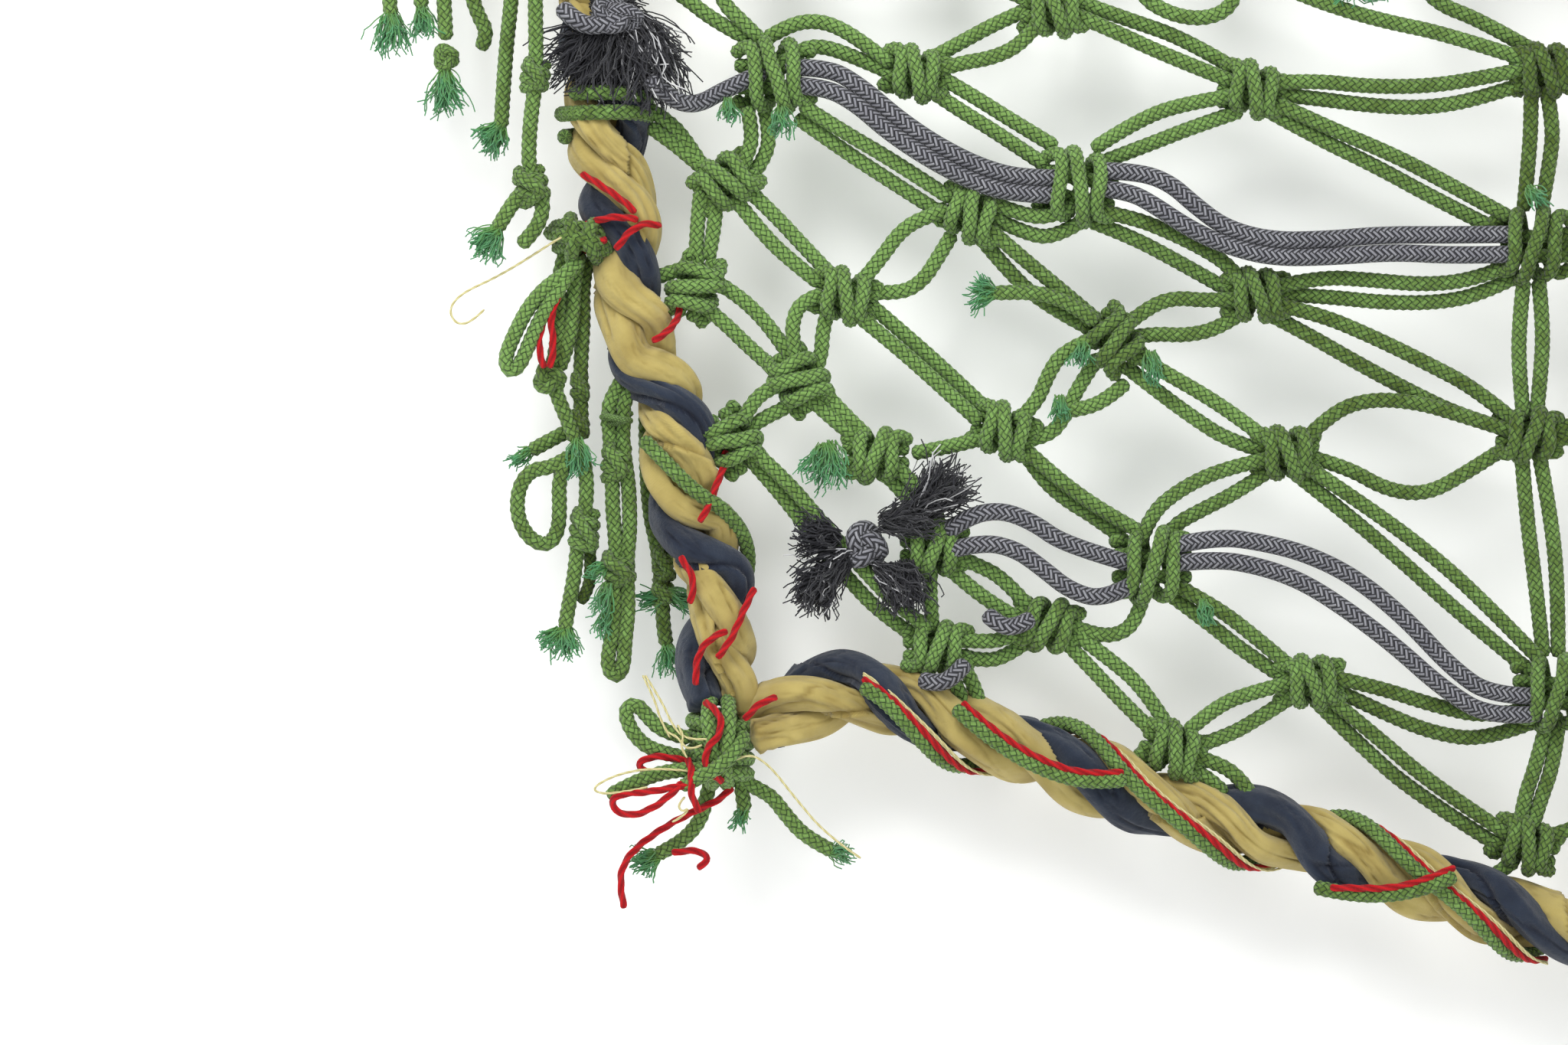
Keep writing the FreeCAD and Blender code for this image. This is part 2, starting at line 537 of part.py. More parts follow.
CORNERS = [(-496, -14), (457, -14), (-372, -746), (448, -940)]
corner_made = []
for number, (x, z) in enumerate(CORNERS, start=1):
    wrap = doc.addObject("Part::Feature", "corner_wrap_%d" % number)
    block = Part.makeBox(50, 2 * (rope_radius + 4), 66, FreeCAD.Vector(-25, -(rope_radius + 4), -33))
    wrap.Shape = block.makeFillet(14, block.Edges)
    wrap.Placement = FreeCAD.Placement(spot((x, 0, z)), FreeCAD.Rotation())
    corner_made.append(wrap)
side_knot = doc.addObject("Part::Feature", "side_knot")
side_block = Part.makeBox(42, 34, 28, FreeCAD.Vector(-21, -17, -14))
side_knot.Shape = side_block.makeFillet(10, side_block.Edges)
side_knot.Placement = FreeCAD.Placement(spot((-484, -6, -334)), FreeCAD.Rotation())
corner_loops = tubes("corner_loop", [
    flat(-20, (-396, -742), (-418, -737), (-431, -724), (-438, -715), (-447, -715), (-449, -725), (-440, -742),
         (-424, -753), (-398, -758)),
    flat(-36, (-372, -766), (-400, -765), (-436, -773), (-462, -788)),
])
node("corner_lashings", corner_made + [side_knot] + corner_loops)
# ---------------------------------------------------------------- tails that hang free
# Each tail starts just under its tie, on the line that it swings about.
cords("head_tail_cords", [
    flat(0, (-647, -48), (-646, -80), (-644, -115), (-641, -152)),
    flat(0, (-619, -48), (-619, -80), (-618, -110), (-616, -146)),
    flat(0, (-602, -48), (-601, -85), (-598, -130), (-596, -172)),
    flat(0, (-579, -48), (-579, -90), (-577, -130), (-570, -152), (-561, -168), (-568, -180)),
], aside=5)
blobs("head_tail_tassels", [
    ((-641, 0, -168), (28, 22, 32)), ((-617, 0, -158), (22, 18, 26)), ((-596, 0, -216), (26, 20, 36)),
], aside=5)
blobs("head_tail_knot", [((-596, 0, -186), (22, 20, 26))], aside=5)

cords("plain_tail_cord", [
    flat(0, (-537, -48), (-539, -88), (-542, -135), (-548, -190), (-551, -244)),
], aside=4)
blobs("plain_tail_tassel", [((-555, 0, -255), (26, 18, 24))], aside=4)

cords("knotted_tail_cords", [
    flat(front, (-518, -48), (-520, -90), (-521, -140), (-520, -196)),
    flat(front, (-521, -214), (-524, -235), (-526, -258), (-526, -284)),
    flat(front, (-534, -302), (-544, -316), (-552, -330)),
    flat(front, (-515, -302), (-515, -318), (-522, -332), (-533, -343)),
], aside=3)
blobs("knotted_tail_knots", [
    ((-521, front, -205), (27, 24, 27)), ((-524, front, -293), (32, 26, 32)),
], aside=3)
blobs("knotted_tail_tassel", [((-559, front, -343), (28, 18, 28))], aside=3)

cords("long_loop", [
    flat(-20, (-495, -364), (-512, -374), (-528, -392), (-540, -416), (-547, -434), (-543, -445), (-534, -439), (-524, -414),
         (-511, -388), (-499, -372)),
], aside=2)
cords("long_red_loop", [
    flat(-20, (-512, -393), (-517, -408), (-520, -424), (-515, -441)),
    flat(-20, (-510, -398), (-508, -412), (-507, -428), (-510, -441)),
], "red_diameter", aside=2)
cords("side_tail_cords", [
    flat(-3, (-504, -364), (-503, -388), (-504, -414), (-509, -441)),
    flat(-3, (-491, -364), (-492, -392), (-495, -420), (-504, -442)),
    flat(8, (-485, -370), (-484, -400), (-486, -430), (-487, -462), (-485, -498)),
    flat(-3, (-507, -457), (-502, -471), (-496, -484), (-490, -500)),
    flat(16, (-494, -490), (-510, -498), (-528, -508)),
], aside=2)
blobs("side_tail_knots", [
    ((-511, -6, -448), (28, 24, 26)), ((-487, 8, -456), (15, 18, 26)), ((-487, 8, -486), (15, 18, 26)),
], aside=2)
blobs("side_tail_tassels", [
    ((-487, -6, -506), (17, 14, 20)), ((-536, 17, -513), (19, 13, 16)),
], aside=2)
cords("drop_loop", [
    flat(-2, (-509, -522), (-526, -523), (-537, -538), (-538, -562), (-528, -580), (-513, -586), (-504, -574),
         (-503, -552), (-504, -532)),
    flat(0, (-482, -522), (-481, -538), (-482, -556)),
    flat(0, (-489, -588), (-491, -610), (-496, -635), (-499, -654)),
    flat(8, (-479, -588), (-478, -604), (-480, -622), (-487, -632)),
], aside=2)
blobs("lower_tail_knot", [((-483, 0, -572), (24, 26, 36))], aside=2)
blobs("lower_tail_tassel", [((-500, 0, -664), (20, 16, 24))], aside=2)

cords("thick_tail_cords", [
    flat(0, (-463, -466), (-463, -482), (-462, -502)),
    flat(0, (-451, -466), (-451, -482), (-452, -502)),
    flat(0, (-460, -534), (-460, -556), (-458, -575), (-457, -594)),
    flat(0, (-447, -534), (-446, -556), (-446, -575), (-448, -594)),
    flat(0, (-459, -616), (-458, -636), (-460, -658), (-464, -676), (-463, -688), (-456, -693), (-451, -684),
         (-450, -664), (-447, -638), (-448, -616)),
], aside=1)
blobs("thick_tail_knots", [
    ((-457, 0, -518), (25, 26, 38)), ((-455, 0, -605), (29, 28, 28)),
], aside=1)

behind = -front
cords("inner_tail_cords", [
    flat(behind, (-434, -468), (-434, -500), (-433, -535), (-430, -565), (-424, -588)),
    flat(behind, (-420, -634), (-420, -650), (-417, -668)),
], aside=1)
blobs("inner_tail_knots", [
    ((-419, behind, -602), (20, 20, 32)), ((-420, behind, -626), (20, 20, 22)),
], aside=1)
blobs("inner_tail_tassel", [((-416, behind, -680), (18, 16, 26))], aside=1)

cords("corner_tail_cords", [
    flat(0, (-384, -792), (-386, -804), (-394, -818), (-408, -830), (-424, -838)),
    flat(0, (-354, -790), (-352, -802)),
])
cords("corner_red_cord", [
    flat(-16, (-372, -792), (-388, -799), (-412, -811), (-436, -827), (-450, -842), (-454, -860), (-450, -880)),
    flat(-16, (-404, -834), (-391, -833), (-383, -837), (-383, -843), (-390, -848)),
], "red_diameter")
blobs("corner_tail_tassels", [
    ((-436, 0, -843), (28, 20, 22)), ((-357, 0, -808), (16, 14, 16)),
])
cords("right_tail_cord", [
    flat(0, (-342, -784), (-330, -790), (-318, -806), (-302, -824), (-280, -835)),
])
blobs("right_tail_tassel", [((-274, 0, -838), (20, 14, 14))])

doc.recompute()

# ---------------------------------------------------------------- tests, then the files
for item in doc.Objects:
    bad = [state for state in item.State if state in ("Invalid", "Error")]
    if bad:
        raise RuntimeError("%s is %s" % (item.Label, bad))
for sweep, length, size in lengths:
    expected = math.pi * (sheet.get(size) / 2) ** 2 * length
    if abs(sweep.Shape.Volume - expected) > 0.02 * expected:
        raise RuntimeError("%s has the wrong volume" % sweep.Label)
for part in parts:
    if part.Shape.isNull() or not part.Shape.isValid():
        raise RuntimeError("%s has no valid shape" % part.Label)
    if not part.Shape.Solids:
        raise RuntimeError("%s has no solid" % part.Label)

print("cord radii, smallest first, mm:", [round(r) for r in sorted(radii_seen)[:12]])
print("rope radius %.1f, cord total %.1f m" % (rope_radius, sum(item[1] for item in lengths) / 1000))

os.makedirs("parts", exist_ok=True)
for part in parts:
    part.Shape.exportStep("parts/%s.step" % part.Label)
print(len(parts), "parts written")
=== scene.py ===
import math

import bpy
import numpy as np
from mathutils import Matrix, Vector, noise


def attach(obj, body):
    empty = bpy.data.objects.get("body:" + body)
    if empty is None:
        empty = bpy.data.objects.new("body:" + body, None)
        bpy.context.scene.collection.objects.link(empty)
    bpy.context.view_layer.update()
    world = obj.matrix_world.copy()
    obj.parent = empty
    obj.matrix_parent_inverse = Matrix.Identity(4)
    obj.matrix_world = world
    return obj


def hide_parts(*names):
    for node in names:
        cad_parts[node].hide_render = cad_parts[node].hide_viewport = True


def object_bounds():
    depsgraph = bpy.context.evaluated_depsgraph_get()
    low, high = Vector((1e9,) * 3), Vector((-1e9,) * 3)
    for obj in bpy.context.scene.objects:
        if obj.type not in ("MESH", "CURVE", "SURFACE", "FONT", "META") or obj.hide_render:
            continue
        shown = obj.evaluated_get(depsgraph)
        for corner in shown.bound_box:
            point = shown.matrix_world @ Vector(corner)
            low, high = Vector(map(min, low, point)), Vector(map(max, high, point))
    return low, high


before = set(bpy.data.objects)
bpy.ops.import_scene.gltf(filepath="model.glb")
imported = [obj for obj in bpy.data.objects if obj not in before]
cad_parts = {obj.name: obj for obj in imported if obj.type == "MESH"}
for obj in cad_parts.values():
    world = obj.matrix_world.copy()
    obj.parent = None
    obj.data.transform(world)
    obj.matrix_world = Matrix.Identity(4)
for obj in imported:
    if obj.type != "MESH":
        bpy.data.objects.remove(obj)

# Cargo climbing net. Metres; the net hangs in the plane y = 0 and is climbed from -Y.
cad_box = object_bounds()
CAD_LOW, CAD_HIGH = cad_box

# ---------------------------------------------------------------- camera
# Stands straight in front of the net, level with its middle, and looks along +Y.
camera_data = bpy.data.cameras.new("camera")
camera_data.lens = 100
camera_data.sensor_width = 36
camera = bpy.data.objects.new("camera", camera_data)
camera.location = (-0.320, -3.556, -0.5666)
camera.rotation_euler = (math.radians(90), 0, 0)
bpy.context.scene.collection.objects.link(camera)
bpy.context.scene.camera = camera

# ---------------------------------------------------------------- long plain tail
# A cut end of the net's own cord: twelve carriers of green polyester braided round a
# soft core, 12 mm thick. It hangs from the top rope and frays where it was cut.
CORD = 0.012             # diameter of the green cord
CARRIERS = 6             # strands each way round the braid
BRAID_LAY = 3.3          # length of one turn of a carrier, in cord diameters


def flat(depth, *points):
    """A route that stays at one depth, from its (x, z) points."""
    return [(x, depth, z) for x, z in points]


def smooth_line(route):
    """The line a cord follows: a NURBS spline with the route's points as control points."""
    curve = bpy.data.curves.new("route", "CURVE")
    curve.dimensions = "3D"
    spline = curve.splines.new("NURBS")
    spline.points.add(len(route) - 1)
    for point, place in zip(spline.points, route):
        point.co = (*place, 1.0)
    spline.order_u = 3
    spline.use_endpoint_u = True
    spline.resolution_u = 12
    holder = bpy.data.objects.new("route", curve)
    mesh = bpy.data.meshes.new_from_object(holder)
    line = np.array([v.co for v in mesh.vertices], float)
    bpy.data.objects.remove(holder)
    bpy.data.meshes.remove(mesh)
    bpy.data.curves.remove(curve)
    return line


def line_length(line):
    return float(np.linalg.norm(np.diff(line, axis=0), axis=1).sum())


def evenly(line, step):
    """The same line with its points one step apart."""
    gaps = np.linalg.norm(np.diff(line, axis=0), axis=1)
    along = np.concatenate([[0.0], np.cumsum(gaps)])
    count = max(3, int(round(along[-1] / step)))
    wanted = np.linspace(0, along[-1], count + 1)
    return np.stack([np.interp(wanted, along, line[:, k]) for k in range(3)], axis=1)


def square_to(line):
    """Two directions square to the line at each point, with no twist between neighbours."""
    forward = np.gradient(line, axis=0)
    forward /= np.linalg.norm(forward, axis=1)[:, None]
    side = np.zeros_like(line)
    start = np.cross(forward[0], (0.0, 1.0, 0.0))
    if np.linalg.norm(start) < 0.2:
        start = np.cross(forward[0], (1.0, 0.0, 0.0))
    side[0] = start / np.linalg.norm(start)
    for k in range(1, len(line)):
        leaning = side[k - 1] - forward[k] * (side[k - 1] @ forward[k])
        side[k] = leaning / np.linalg.norm(leaning)
    return forward, side, np.cross(forward, side)


def shell(line, step, around, radius, lay, tone=0.5, blunt=0.7):
    """A closed skin round a line. radius(i, j, along) gives each vertex its distance from
    the line; the skin's own map runs once round it and once for every lay along it."""
    line = evenly(line, step)
    forward, side, up = square_to(line)
    count = len(line)
    along = np.arange(count) * line_length(line) / (count - 1)
    i, j = np.meshgrid(np.arange(around), np.arange(count))
    far = radius(i, j, along[:, None] + 0.0 * i)
    far[0] *= blunt
    far[-1] *= blunt
    angle = 2 * np.pi * i / around
    spots = line[:, None, :] + (far * np.cos(angle))[..., None] * side[:, None, :]
    spots += (far * np.sin(angle))[..., None] * up[:, None, :]
    caps = np.stack([line[0] - forward[0] * far[0].mean() * 0.25, line[-1] + forward[-1] * far[-1].mean() * 0.25])
    spots = np.concatenate([spots.reshape(-1, 3), caps])
    quads, quad_map = [], []
    ring = np.arange(around)
    after = (ring + 1) % around
    for k in range(count - 1):
        low, high = k * around, (k + 1) * around
        quads.append(np.stack([low + ring, low + after, high + after, high + ring], axis=1))
        v0, v1 = along[k] / lay, along[k + 1] / lay
        u0, u1 = ring / around, (ring + 1) / around
        quad_map.append(np.stack([u0, 0 * u0 + v0, u1, 0 * u0 + v0, u1, 0 * u0 + v1, u0, 0 * u0 + v1], axis=1))
    first, last = count * around, count * around + 1
    top = (count - 1) * around
    tris = np.concatenate([
        np.stack([0 * ring + first, after, ring], axis=1),
        np.stack([0 * ring + last, top + ring, top + after], axis=1),
    ])
    u0, u1, v1 = ring / around, (ring + 1) / around, 0 * ring + along[-1] / lay
    tri_map = np.concatenate([
        np.stack([u0, 0 * u0, u1, 0 * u0, u0, 0 * u0], axis=1),
        np.stack([u0, v1, u0, v1, u1, v1], axis=1),
    ])
    return spots, np.concatenate(quads), np.concatenate(quad_map), tris, tri_map, tone


def skin(name, shells, material):
    """One object from several closed skins, with their maps and their tone: on cords the tone of colour, on cloth the
    painted shade of its creases.
    """
    spots, corners, maps, sizes, tones = [], [], [], [], []
    start = 0
    for places, quads, quad_map, tris, tri_map, tone in shells:
        spots.append(places)
        tones.append(np.broadcast_to(tone, len(places)))
        corners += [(quads + start).ravel(), (tris + start).ravel()]
        maps += [quad_map.reshape(-1), tri_map.reshape(-1)]
        sizes += [np.full(len(quads), 4), np.full(len(tris), 3)]
        start += len(places)
    spots, corners, maps, sizes = (np.concatenate(x) for x in (spots, corners, maps, sizes))
    mesh = bpy.data.meshes.new(name)
    mesh.vertices.add(len(spots))
    mesh.vertices.foreach_set("co", spots.astype(np.float32).ravel())
    mesh.loops.add(len(corners))
    mesh.loops.foreach_set("vertex_index", corners.astype(np.int32))
    mesh.polygons.add(len(sizes))
    mesh.polygons.foreach_set("loop_start", np.concatenate([[0], np.cumsum(sizes)[:-1]]).astype(np.int32))
    mesh.update(calc_edges=True)
    mesh.shade_smooth()
    mesh.uv_layers.new(name="skin").data.foreach_set("uv", maps.astype(np.float32))
    mesh.attributes.new("tone", "FLOAT", "POINT").data.foreach_set("value", np.concatenate(tones).astype(np.float32))
    mesh.materials.append(material)
    made = bpy.data.objects.new(name, mesh)
    bpy.context.scene.collection.objects.link(made)
    return made


def braid(route, diameter=CORD, tone=0.4):
    """A braided cord: each crossing of two carriers stands out as a small diamond."""
    around = 2 * CARRIERS
    lay = BRAID_LAY * diameter

    def radius(i, j, along):
        return diameter / 2 * (1 + 0.085 * (((i + j) % 2) * 2 - 1))

    return shell(smooth_line(route), lay / around, around, radius, lay, tone)


def calculate(tree, operation, first, second=0.0):
    """One Math node; an input is a socket or a number."""
    sum_ = tree.nodes.new("ShaderNodeMath")
    sum_.operation = operation
    for socket, value in zip(sum_.inputs, (first, second)):
        if isinstance(value, bpy.types.NodeSocket):
            tree.links.new(value, socket)
        else:
            socket.default_value = value
    return sum_.outputs[0]


def blend_colours(tree, factor, first, second):
    """One Mix Color node; a colour is a socket or (red, green, blue)."""
    mix = tree.nodes.new("ShaderNodeMix")
    mix.data_type = "RGBA"
    for socket, value in zip((mix.inputs[0], mix.inputs[6], mix.inputs[7]), (factor, first, second)):
        if isinstance(value, bpy.types.NodeSocket):
            tree.links.new(value, socket)
        else:
            socket.default_value = (*value, 1.0) if isinstance(value, tuple) else value
    return mix.outputs[2]


def mottle(tree, scale, detail=3.0):
    """Noise fixed to the object, from 0 to 1."""
    where = tree.nodes.new("ShaderNodeTexCoord")
    cloud = tree.nodes.new("ShaderNodeTexNoise")
    cloud.inputs["Scale"].default_value = scale
    cloud.inputs["Detail"].default_value = detail
    tree.links.new(where.outputs["Object"], cloud.inputs["Vector"])
    return cloud.outputs["Fac"]


def raise_surface(tree, height, distance, strength=1.0):
    bump = tree.nodes.new("ShaderNodeBump")
    bump.inputs["Distance"].default_value = distance
    bump.inputs["Strength"].default_value = strength
    tree.links.new(height, bump.inputs["Height"])
    tree.links.new(bump.outputs["Normal"], tree.nodes["Principled BSDF"].inputs["Normal"])


def plain_finish(name, roughness, sheen):
    """A new material with its fixed values set on the shader itself."""
    material = bpy.data.materials.new(name)
    material.use_nodes = True
    shader = material.node_tree.nodes["Principled BSDF"]
    shader.inputs["Roughness"].default_value = roughness
    shader.inputs["Sheen Weight"].default_value = sheen
    shader.inputs["Sheen Roughness"].default_value = 0.5
    shader.inputs["Specular IOR Level"].default_value = 0.25
    return material


def braid_finish(name, fresh, worn, ground_and_edge_shade, carriers, over, filaments, thread=1.0, depth=0.0012):
    """Braided yarn. over is how many carriers each one passes over; thread is how much of
    its own width the yarn fills, and the space between two shows the colour beneath. The same
    colour is blended in as painted shade towards each carrier's edges."""
    material = plain_finish(name, 0.78, 0.15)
    tree = material.node_tree
    own_map = tree.nodes.new("ShaderNodeUVMap")
    own_map.uv_map = "skin"
    parts = tree.nodes.new("ShaderNodeSeparateXYZ")
    tree.links.new(own_map.outputs[0], parts.inputs[0])
    u, v = parts.outputs[0], parts.outputs[1]
    right = calculate(tree, "MULTIPLY", calculate(tree, "ADD", u, v), carriers)
    left = calculate(tree, "MULTIPLY", calculate(tree, "SUBTRACT", u, v), carriers)
    right_cell = calculate(tree, "FLOOR", right)
    left_cell = calculate(tree, "FLOOR", left)
    turn = calculate(tree, "FLOORED_MODULO", calculate(tree, "ADD", right_cell, left_cell), 2.0 * over)
    on_top = calculate(tree, "GREATER_THAN", turn, over - 0.5)
    right_across = calculate(tree, "SUBTRACT", right, right_cell)
    left_across = calculate(tree, "SUBTRACT", left, left_cell)
    across = calculate(tree, "ADD", right_across,
                       calculate(tree, "MULTIPLY", on_top, calculate(tree, "SUBTRACT", left_across, right_across)))
    centred = calculate(tree, "DIVIDE", calculate(tree, "SUBTRACT", across, 0.5), thread)
    inside = calculate(tree, "MAXIMUM", calculate(tree, "SUBTRACT", 1.0,
                       calculate(tree, "MULTIPLY", calculate(tree, "MULTIPLY", centred, centred), 4.0)), 0.0)
    crown = calculate(tree, "POWER", inside, 0.9)
    hairs = calculate(tree, "SINE", calculate(tree, "MULTIPLY", across, 2 * math.pi * filaments))
    height = calculate(tree, "ADD", crown, calculate(tree, "MULTIPLY", hairs, 0.10))
    raise_surface(tree, height, depth)
    carrier = calculate(tree, "FLOORED_MODULO", calculate(tree, "ADD", right_cell,
                        calculate(tree, "MULTIPLY", on_top, calculate(tree, "SUBTRACT", left_cell, right_cell))), carriers)
    dyed = tree.nodes.new("ShaderNodeTexWhiteNoise")
    dyed.noise_dimensions = "1D"
    tree.links.new(calculate(tree, "ADD", carrier, calculate(tree, "MULTIPLY", on_top, 31.0)), dyed.inputs["W"])
    tone = tree.nodes.new("ShaderNodeAttribute")
    tone.attribute_name = "tone"
    patchy = calculate(tree, "SUBTRACT", mottle(tree, 34), 0.5)
    age = calculate(tree, "ADD", tone.outputs["Fac"], calculate(tree, "MULTIPLY", patchy, 0.9))
    age = calculate(tree, "ADD", age, calculate(tree, "MULTIPLY", calculate(tree, "SUBTRACT", dyed.outputs["Value"], 0.5), 0.55))
    age = calculate(tree, "MINIMUM", calculate(tree, "MAXIMUM", age, 0.0), 1.0)
    yarn = blend_colours(tree, age, fresh, worn)
    # painted shade: towards each carrier's edges, where its crown falls off, the yarn colour blends into the ground
    # colour; the fibre lines add fine streaks
    lit = calculate(tree, "ADD", calculate(tree, "MULTIPLY", crown, 0.95), calculate(tree, "MULTIPLY", hairs, 0.14))
    lit = calculate(tree, "MINIMUM", calculate(tree, "MAXIMUM", lit, 0.0), 1.0)
    colour = blend_colours(tree, lit, ground_and_edge_shade, yarn)
    tree.links.new(colour, tree.nodes["Principled BSDF"].inputs["Base Color"])
    return material


# The third colour shows only as painted shade at each carrier's edges, since the green yarn fills its whole width.
green_braid = braid_finish("green_braid", (0.215, 0.385, 0.095), (0.080, 0.130, 0.014), (0.006, 0.022, 0.004),
                           CARRIERS, 1, 3)


def settle(piece, body, slot, *nodes):
    """The piece moves with its body and stands for its CAD nodes."""
    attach(piece, body)
    if nodes:
        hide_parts(*nodes)
    return piece


def free_cord(name, route, body, slot, material, diameter=CORD, nodes=(), tone=0.4,
              make=braid):
    """A cord with a free end."""
    line = smooth_line(route)
    piece = skin(name, [make(route, diameter, tone)], material)
    settle(piece, body, slot, *nodes)
    return piece


# Where a cord was cut its yarn opens into a tuft. Each fibre is a thin curved hair that
# leaves the cut in the tuft's own direction and curls by itself.
def fibre_tree():
    tree = bpy.data.node_groups.new("frayed_yarn", "GeometryNodeTree")
    sockets = tree.interface
    sockets.new_socket("Geometry", in_out="INPUT", socket_type="NodeSocketGeometry")
    for name, kind in (("Fibres", "Int"), ("Fibre radius", "Float"), ("Spread", "Float"), ("Root width", "Float"),
                       ("Curl", "Float"), ("Seed", "Int"), ("Material", "Material")):
        sockets.new_socket(name, in_out="INPUT", socket_type="NodeSocket" + kind)
    sockets.new_socket("Geometry", in_out="OUTPUT", socket_type="NodeSocketGeometry")
    make, link = tree.nodes.new, tree.links.new
    given, result = make("NodeGroupInput"), make("NodeGroupOutput")

    def scattered(low, high, seed_step):
        """A random vector for each fibre."""
        dice = make("FunctionNodeRandomValue")
        dice.data_type = "FLOAT_VECTOR"
        dice.inputs[0].default_value = low
        dice.inputs[1].default_value = high
        more = make("ShaderNodeMath")
        more.inputs[1].default_value = seed_step
        link(given.outputs["Seed"], more.inputs[0])
        link(more.outputs[0], dice.inputs["Seed"])
        return dice.outputs[0]

    def scaled(vector, amount):
        by = make("ShaderNodeVectorMath")
        by.operation = "SCALE"
        link(vector, by.inputs[0])
        link(amount, by.inputs["Scale"])
        return by.outputs[0]

    copies = make("GeometryNodeDuplicateElements")
    copies.domain = "POINT"
    link(given.outputs["Geometry"], copies.inputs["Geometry"])
    link(given.outputs["Fibres"], copies.inputs["Amount"])
    rooted = make("GeometryNodeSetPosition")
    link(copies.outputs["Geometry"], rooted.inputs["Geometry"])
    link(scaled(scattered((-1, -1, -1), (1, 1, 1), 1), given.outputs["Root width"]), rooted.inputs["Offset"])
    hair = make("GeometryNodeCurveQuadraticBezier")
    hair.inputs["Resolution"].default_value = 6
    hair.inputs["Start"].default_value = (0, 0, 0)
    hair.inputs["Middle"].default_value = (0.22, 0, 0.55)
    hair.inputs["End"].default_value = (-0.05, 0.05, 1)
    aim = make("GeometryNodeInputNamedAttribute")
    aim.data_type = "FLOAT_VECTOR"
    aim.inputs["Name"].default_value = "aim"
    heading = make("ShaderNodeVectorMath")
    heading.operation = "NORMALIZE"
    link(aim.outputs[0], heading.inputs[0])
    strayed = make("ShaderNodeVectorMath")
    link(heading.outputs[0], strayed.inputs[0])
    link(scaled(scattered((-1, -1, -1), (1, 1, 1), 2), given.outputs["Spread"]), strayed.inputs[1])
    turned = make("FunctionNodeAlignRotationToVector")
    turned.axis = "Z"
    spin = make("FunctionNodeEulerToRotation")
    link(scattered((0, 0, 0), (0, 0, 6.283), 3), spin.inputs[0])
    link(spin.outputs[0], turned.inputs["Rotation"])
    link(strayed.outputs[0], turned.inputs["Vector"])
    long = make("ShaderNodeVectorMath")
    long.operation = "LENGTH"
    link(aim.outputs[0], long.inputs[0])
    placed = make("GeometryNodeInstanceOnPoints")
    link(rooted.outputs["Geometry"], placed.inputs["Points"])
    link(hair.outputs["Curve"], placed.inputs["Instance"])
    link(turned.outputs[0], placed.inputs["Rotation"])
    varied = make("ShaderNodeVectorMath")
    varied.operation = "SCALE"
    dice = make("FunctionNodeRandomValue")
    dice.data_type = "FLOAT"
    dice.inputs[2].default_value = 0.45
    dice.inputs[3].default_value = 1.15
    link(given.outputs["Seed"], dice.inputs["Seed"])
    size = make("ShaderNodeCombineXYZ")
    times = make("ShaderNodeMath")
    times.operation = "MULTIPLY"
    link(long.outputs["Value"], times.inputs[0])
    link(dice.outputs[1], times.inputs[1])
    for socket in size.inputs:
        link(times.outputs[0], socket)
    link(size.outputs[0], placed.inputs["Scale"])
    real = make("GeometryNodeRealizeInstances")
    link(placed.outputs[0], real.inputs[0])
    where = make("GeometryNodeSplineParameter")
    wave = make("ShaderNodeTexNoise")
    wave.inputs["Scale"].default_value = 120
    wave.inputs["Detail"].default_value = 1
    centred = make("ShaderNodeVectorMath")
    centred.operation = "SUBTRACT"
    centred.inputs[1].default_value = (0.5, 0.5, 0.5)
    link(wave.outputs["Color"], centred.inputs[0])
    bent = make("ShaderNodeMath")
    bent.operation = "MULTIPLY"
    link(where.outputs["Factor"], bent.inputs[0])
    link(given.outputs["Curl"], bent.inputs[1])
    curled = make("GeometryNodeSetPosition")
    link(real.outputs[0], curled.inputs["Geometry"])
    link(scaled(centred.outputs[0], bent.outputs[0]), curled.inputs["Offset"])
    marked = make("GeometryNodeStoreNamedAttribute")
    marked.data_type = "FLOAT"
    marked.domain = "POINT"
    marked.inputs["Name"].default_value = "tip"
    link(curled.outputs[0], marked.inputs["Geometry"])
    link(where.outputs["Factor"], marked.inputs["Value"])
    section = make("GeometryNodeCurvePrimitiveCircle")
    section.inputs["Resolution"].default_value = 3
    link(given.outputs["Fibre radius"], section.inputs["Radius"])
    solid = make("GeometryNodeCurveToMesh")
    solid.inputs["Fill Caps"].default_value = True
    link(marked.outputs[0], solid.inputs["Curve"])
    link(section.outputs[0], solid.inputs["Profile Curve"])
    joined = make("GeometryNodeRealizeInstances")
    link(solid.outputs[0], joined.inputs[0])
    painted = make("GeometryNodeSetMaterial")
    link(joined.outputs[0], painted.inputs["Geometry"])
    link(given.outputs["Material"], painted.inputs["Material"])
    link(painted.outputs[0], result.inputs[0])
    return tree


frayed_yarn = fibre_tree()


def tufts(name, places, material, fibres=90, fibre=0.00062, spread=0.45, root=0.004, curl=0.012, seed=1):
    """Tufts of loose fibre; each place is (root, aim), the aim as long as its fibres."""
    mesh = bpy.data.meshes.new(name + "_roots")
    mesh.from_pydata([place for place, aim in places], [], [])
    aims = mesh.attributes.new("aim", "FLOAT_VECTOR", "POINT")
    aims.data.foreach_set("vector", [number for place, aim in places for number in aim])
    made = bpy.data.objects.new(name, mesh)
    bpy.context.scene.collection.objects.link(made)
    growing = made.modifiers.new("frayed_yarn", "NODES")
    growing.node_group = frayed_yarn
    values = {"Fibres": fibres, "Fibre radius": fibre, "Spread": spread, "Root width": root, "Curl": curl,
              "Seed": seed, "Material": material}
    for socket in frayed_yarn.interface.items_tree:
        if socket.in_out == "INPUT" and socket.name in values:
            growing[socket.identifier] = values[socket.name]
    grown = bpy.data.meshes.new_from_object(made.evaluated_get(bpy.context.evaluated_depsgraph_get()))
    made.modifiers.clear()
    made.data = grown
    bpy.data.meshes.remove(mesh)
    grown.shade_smooth()
    return made


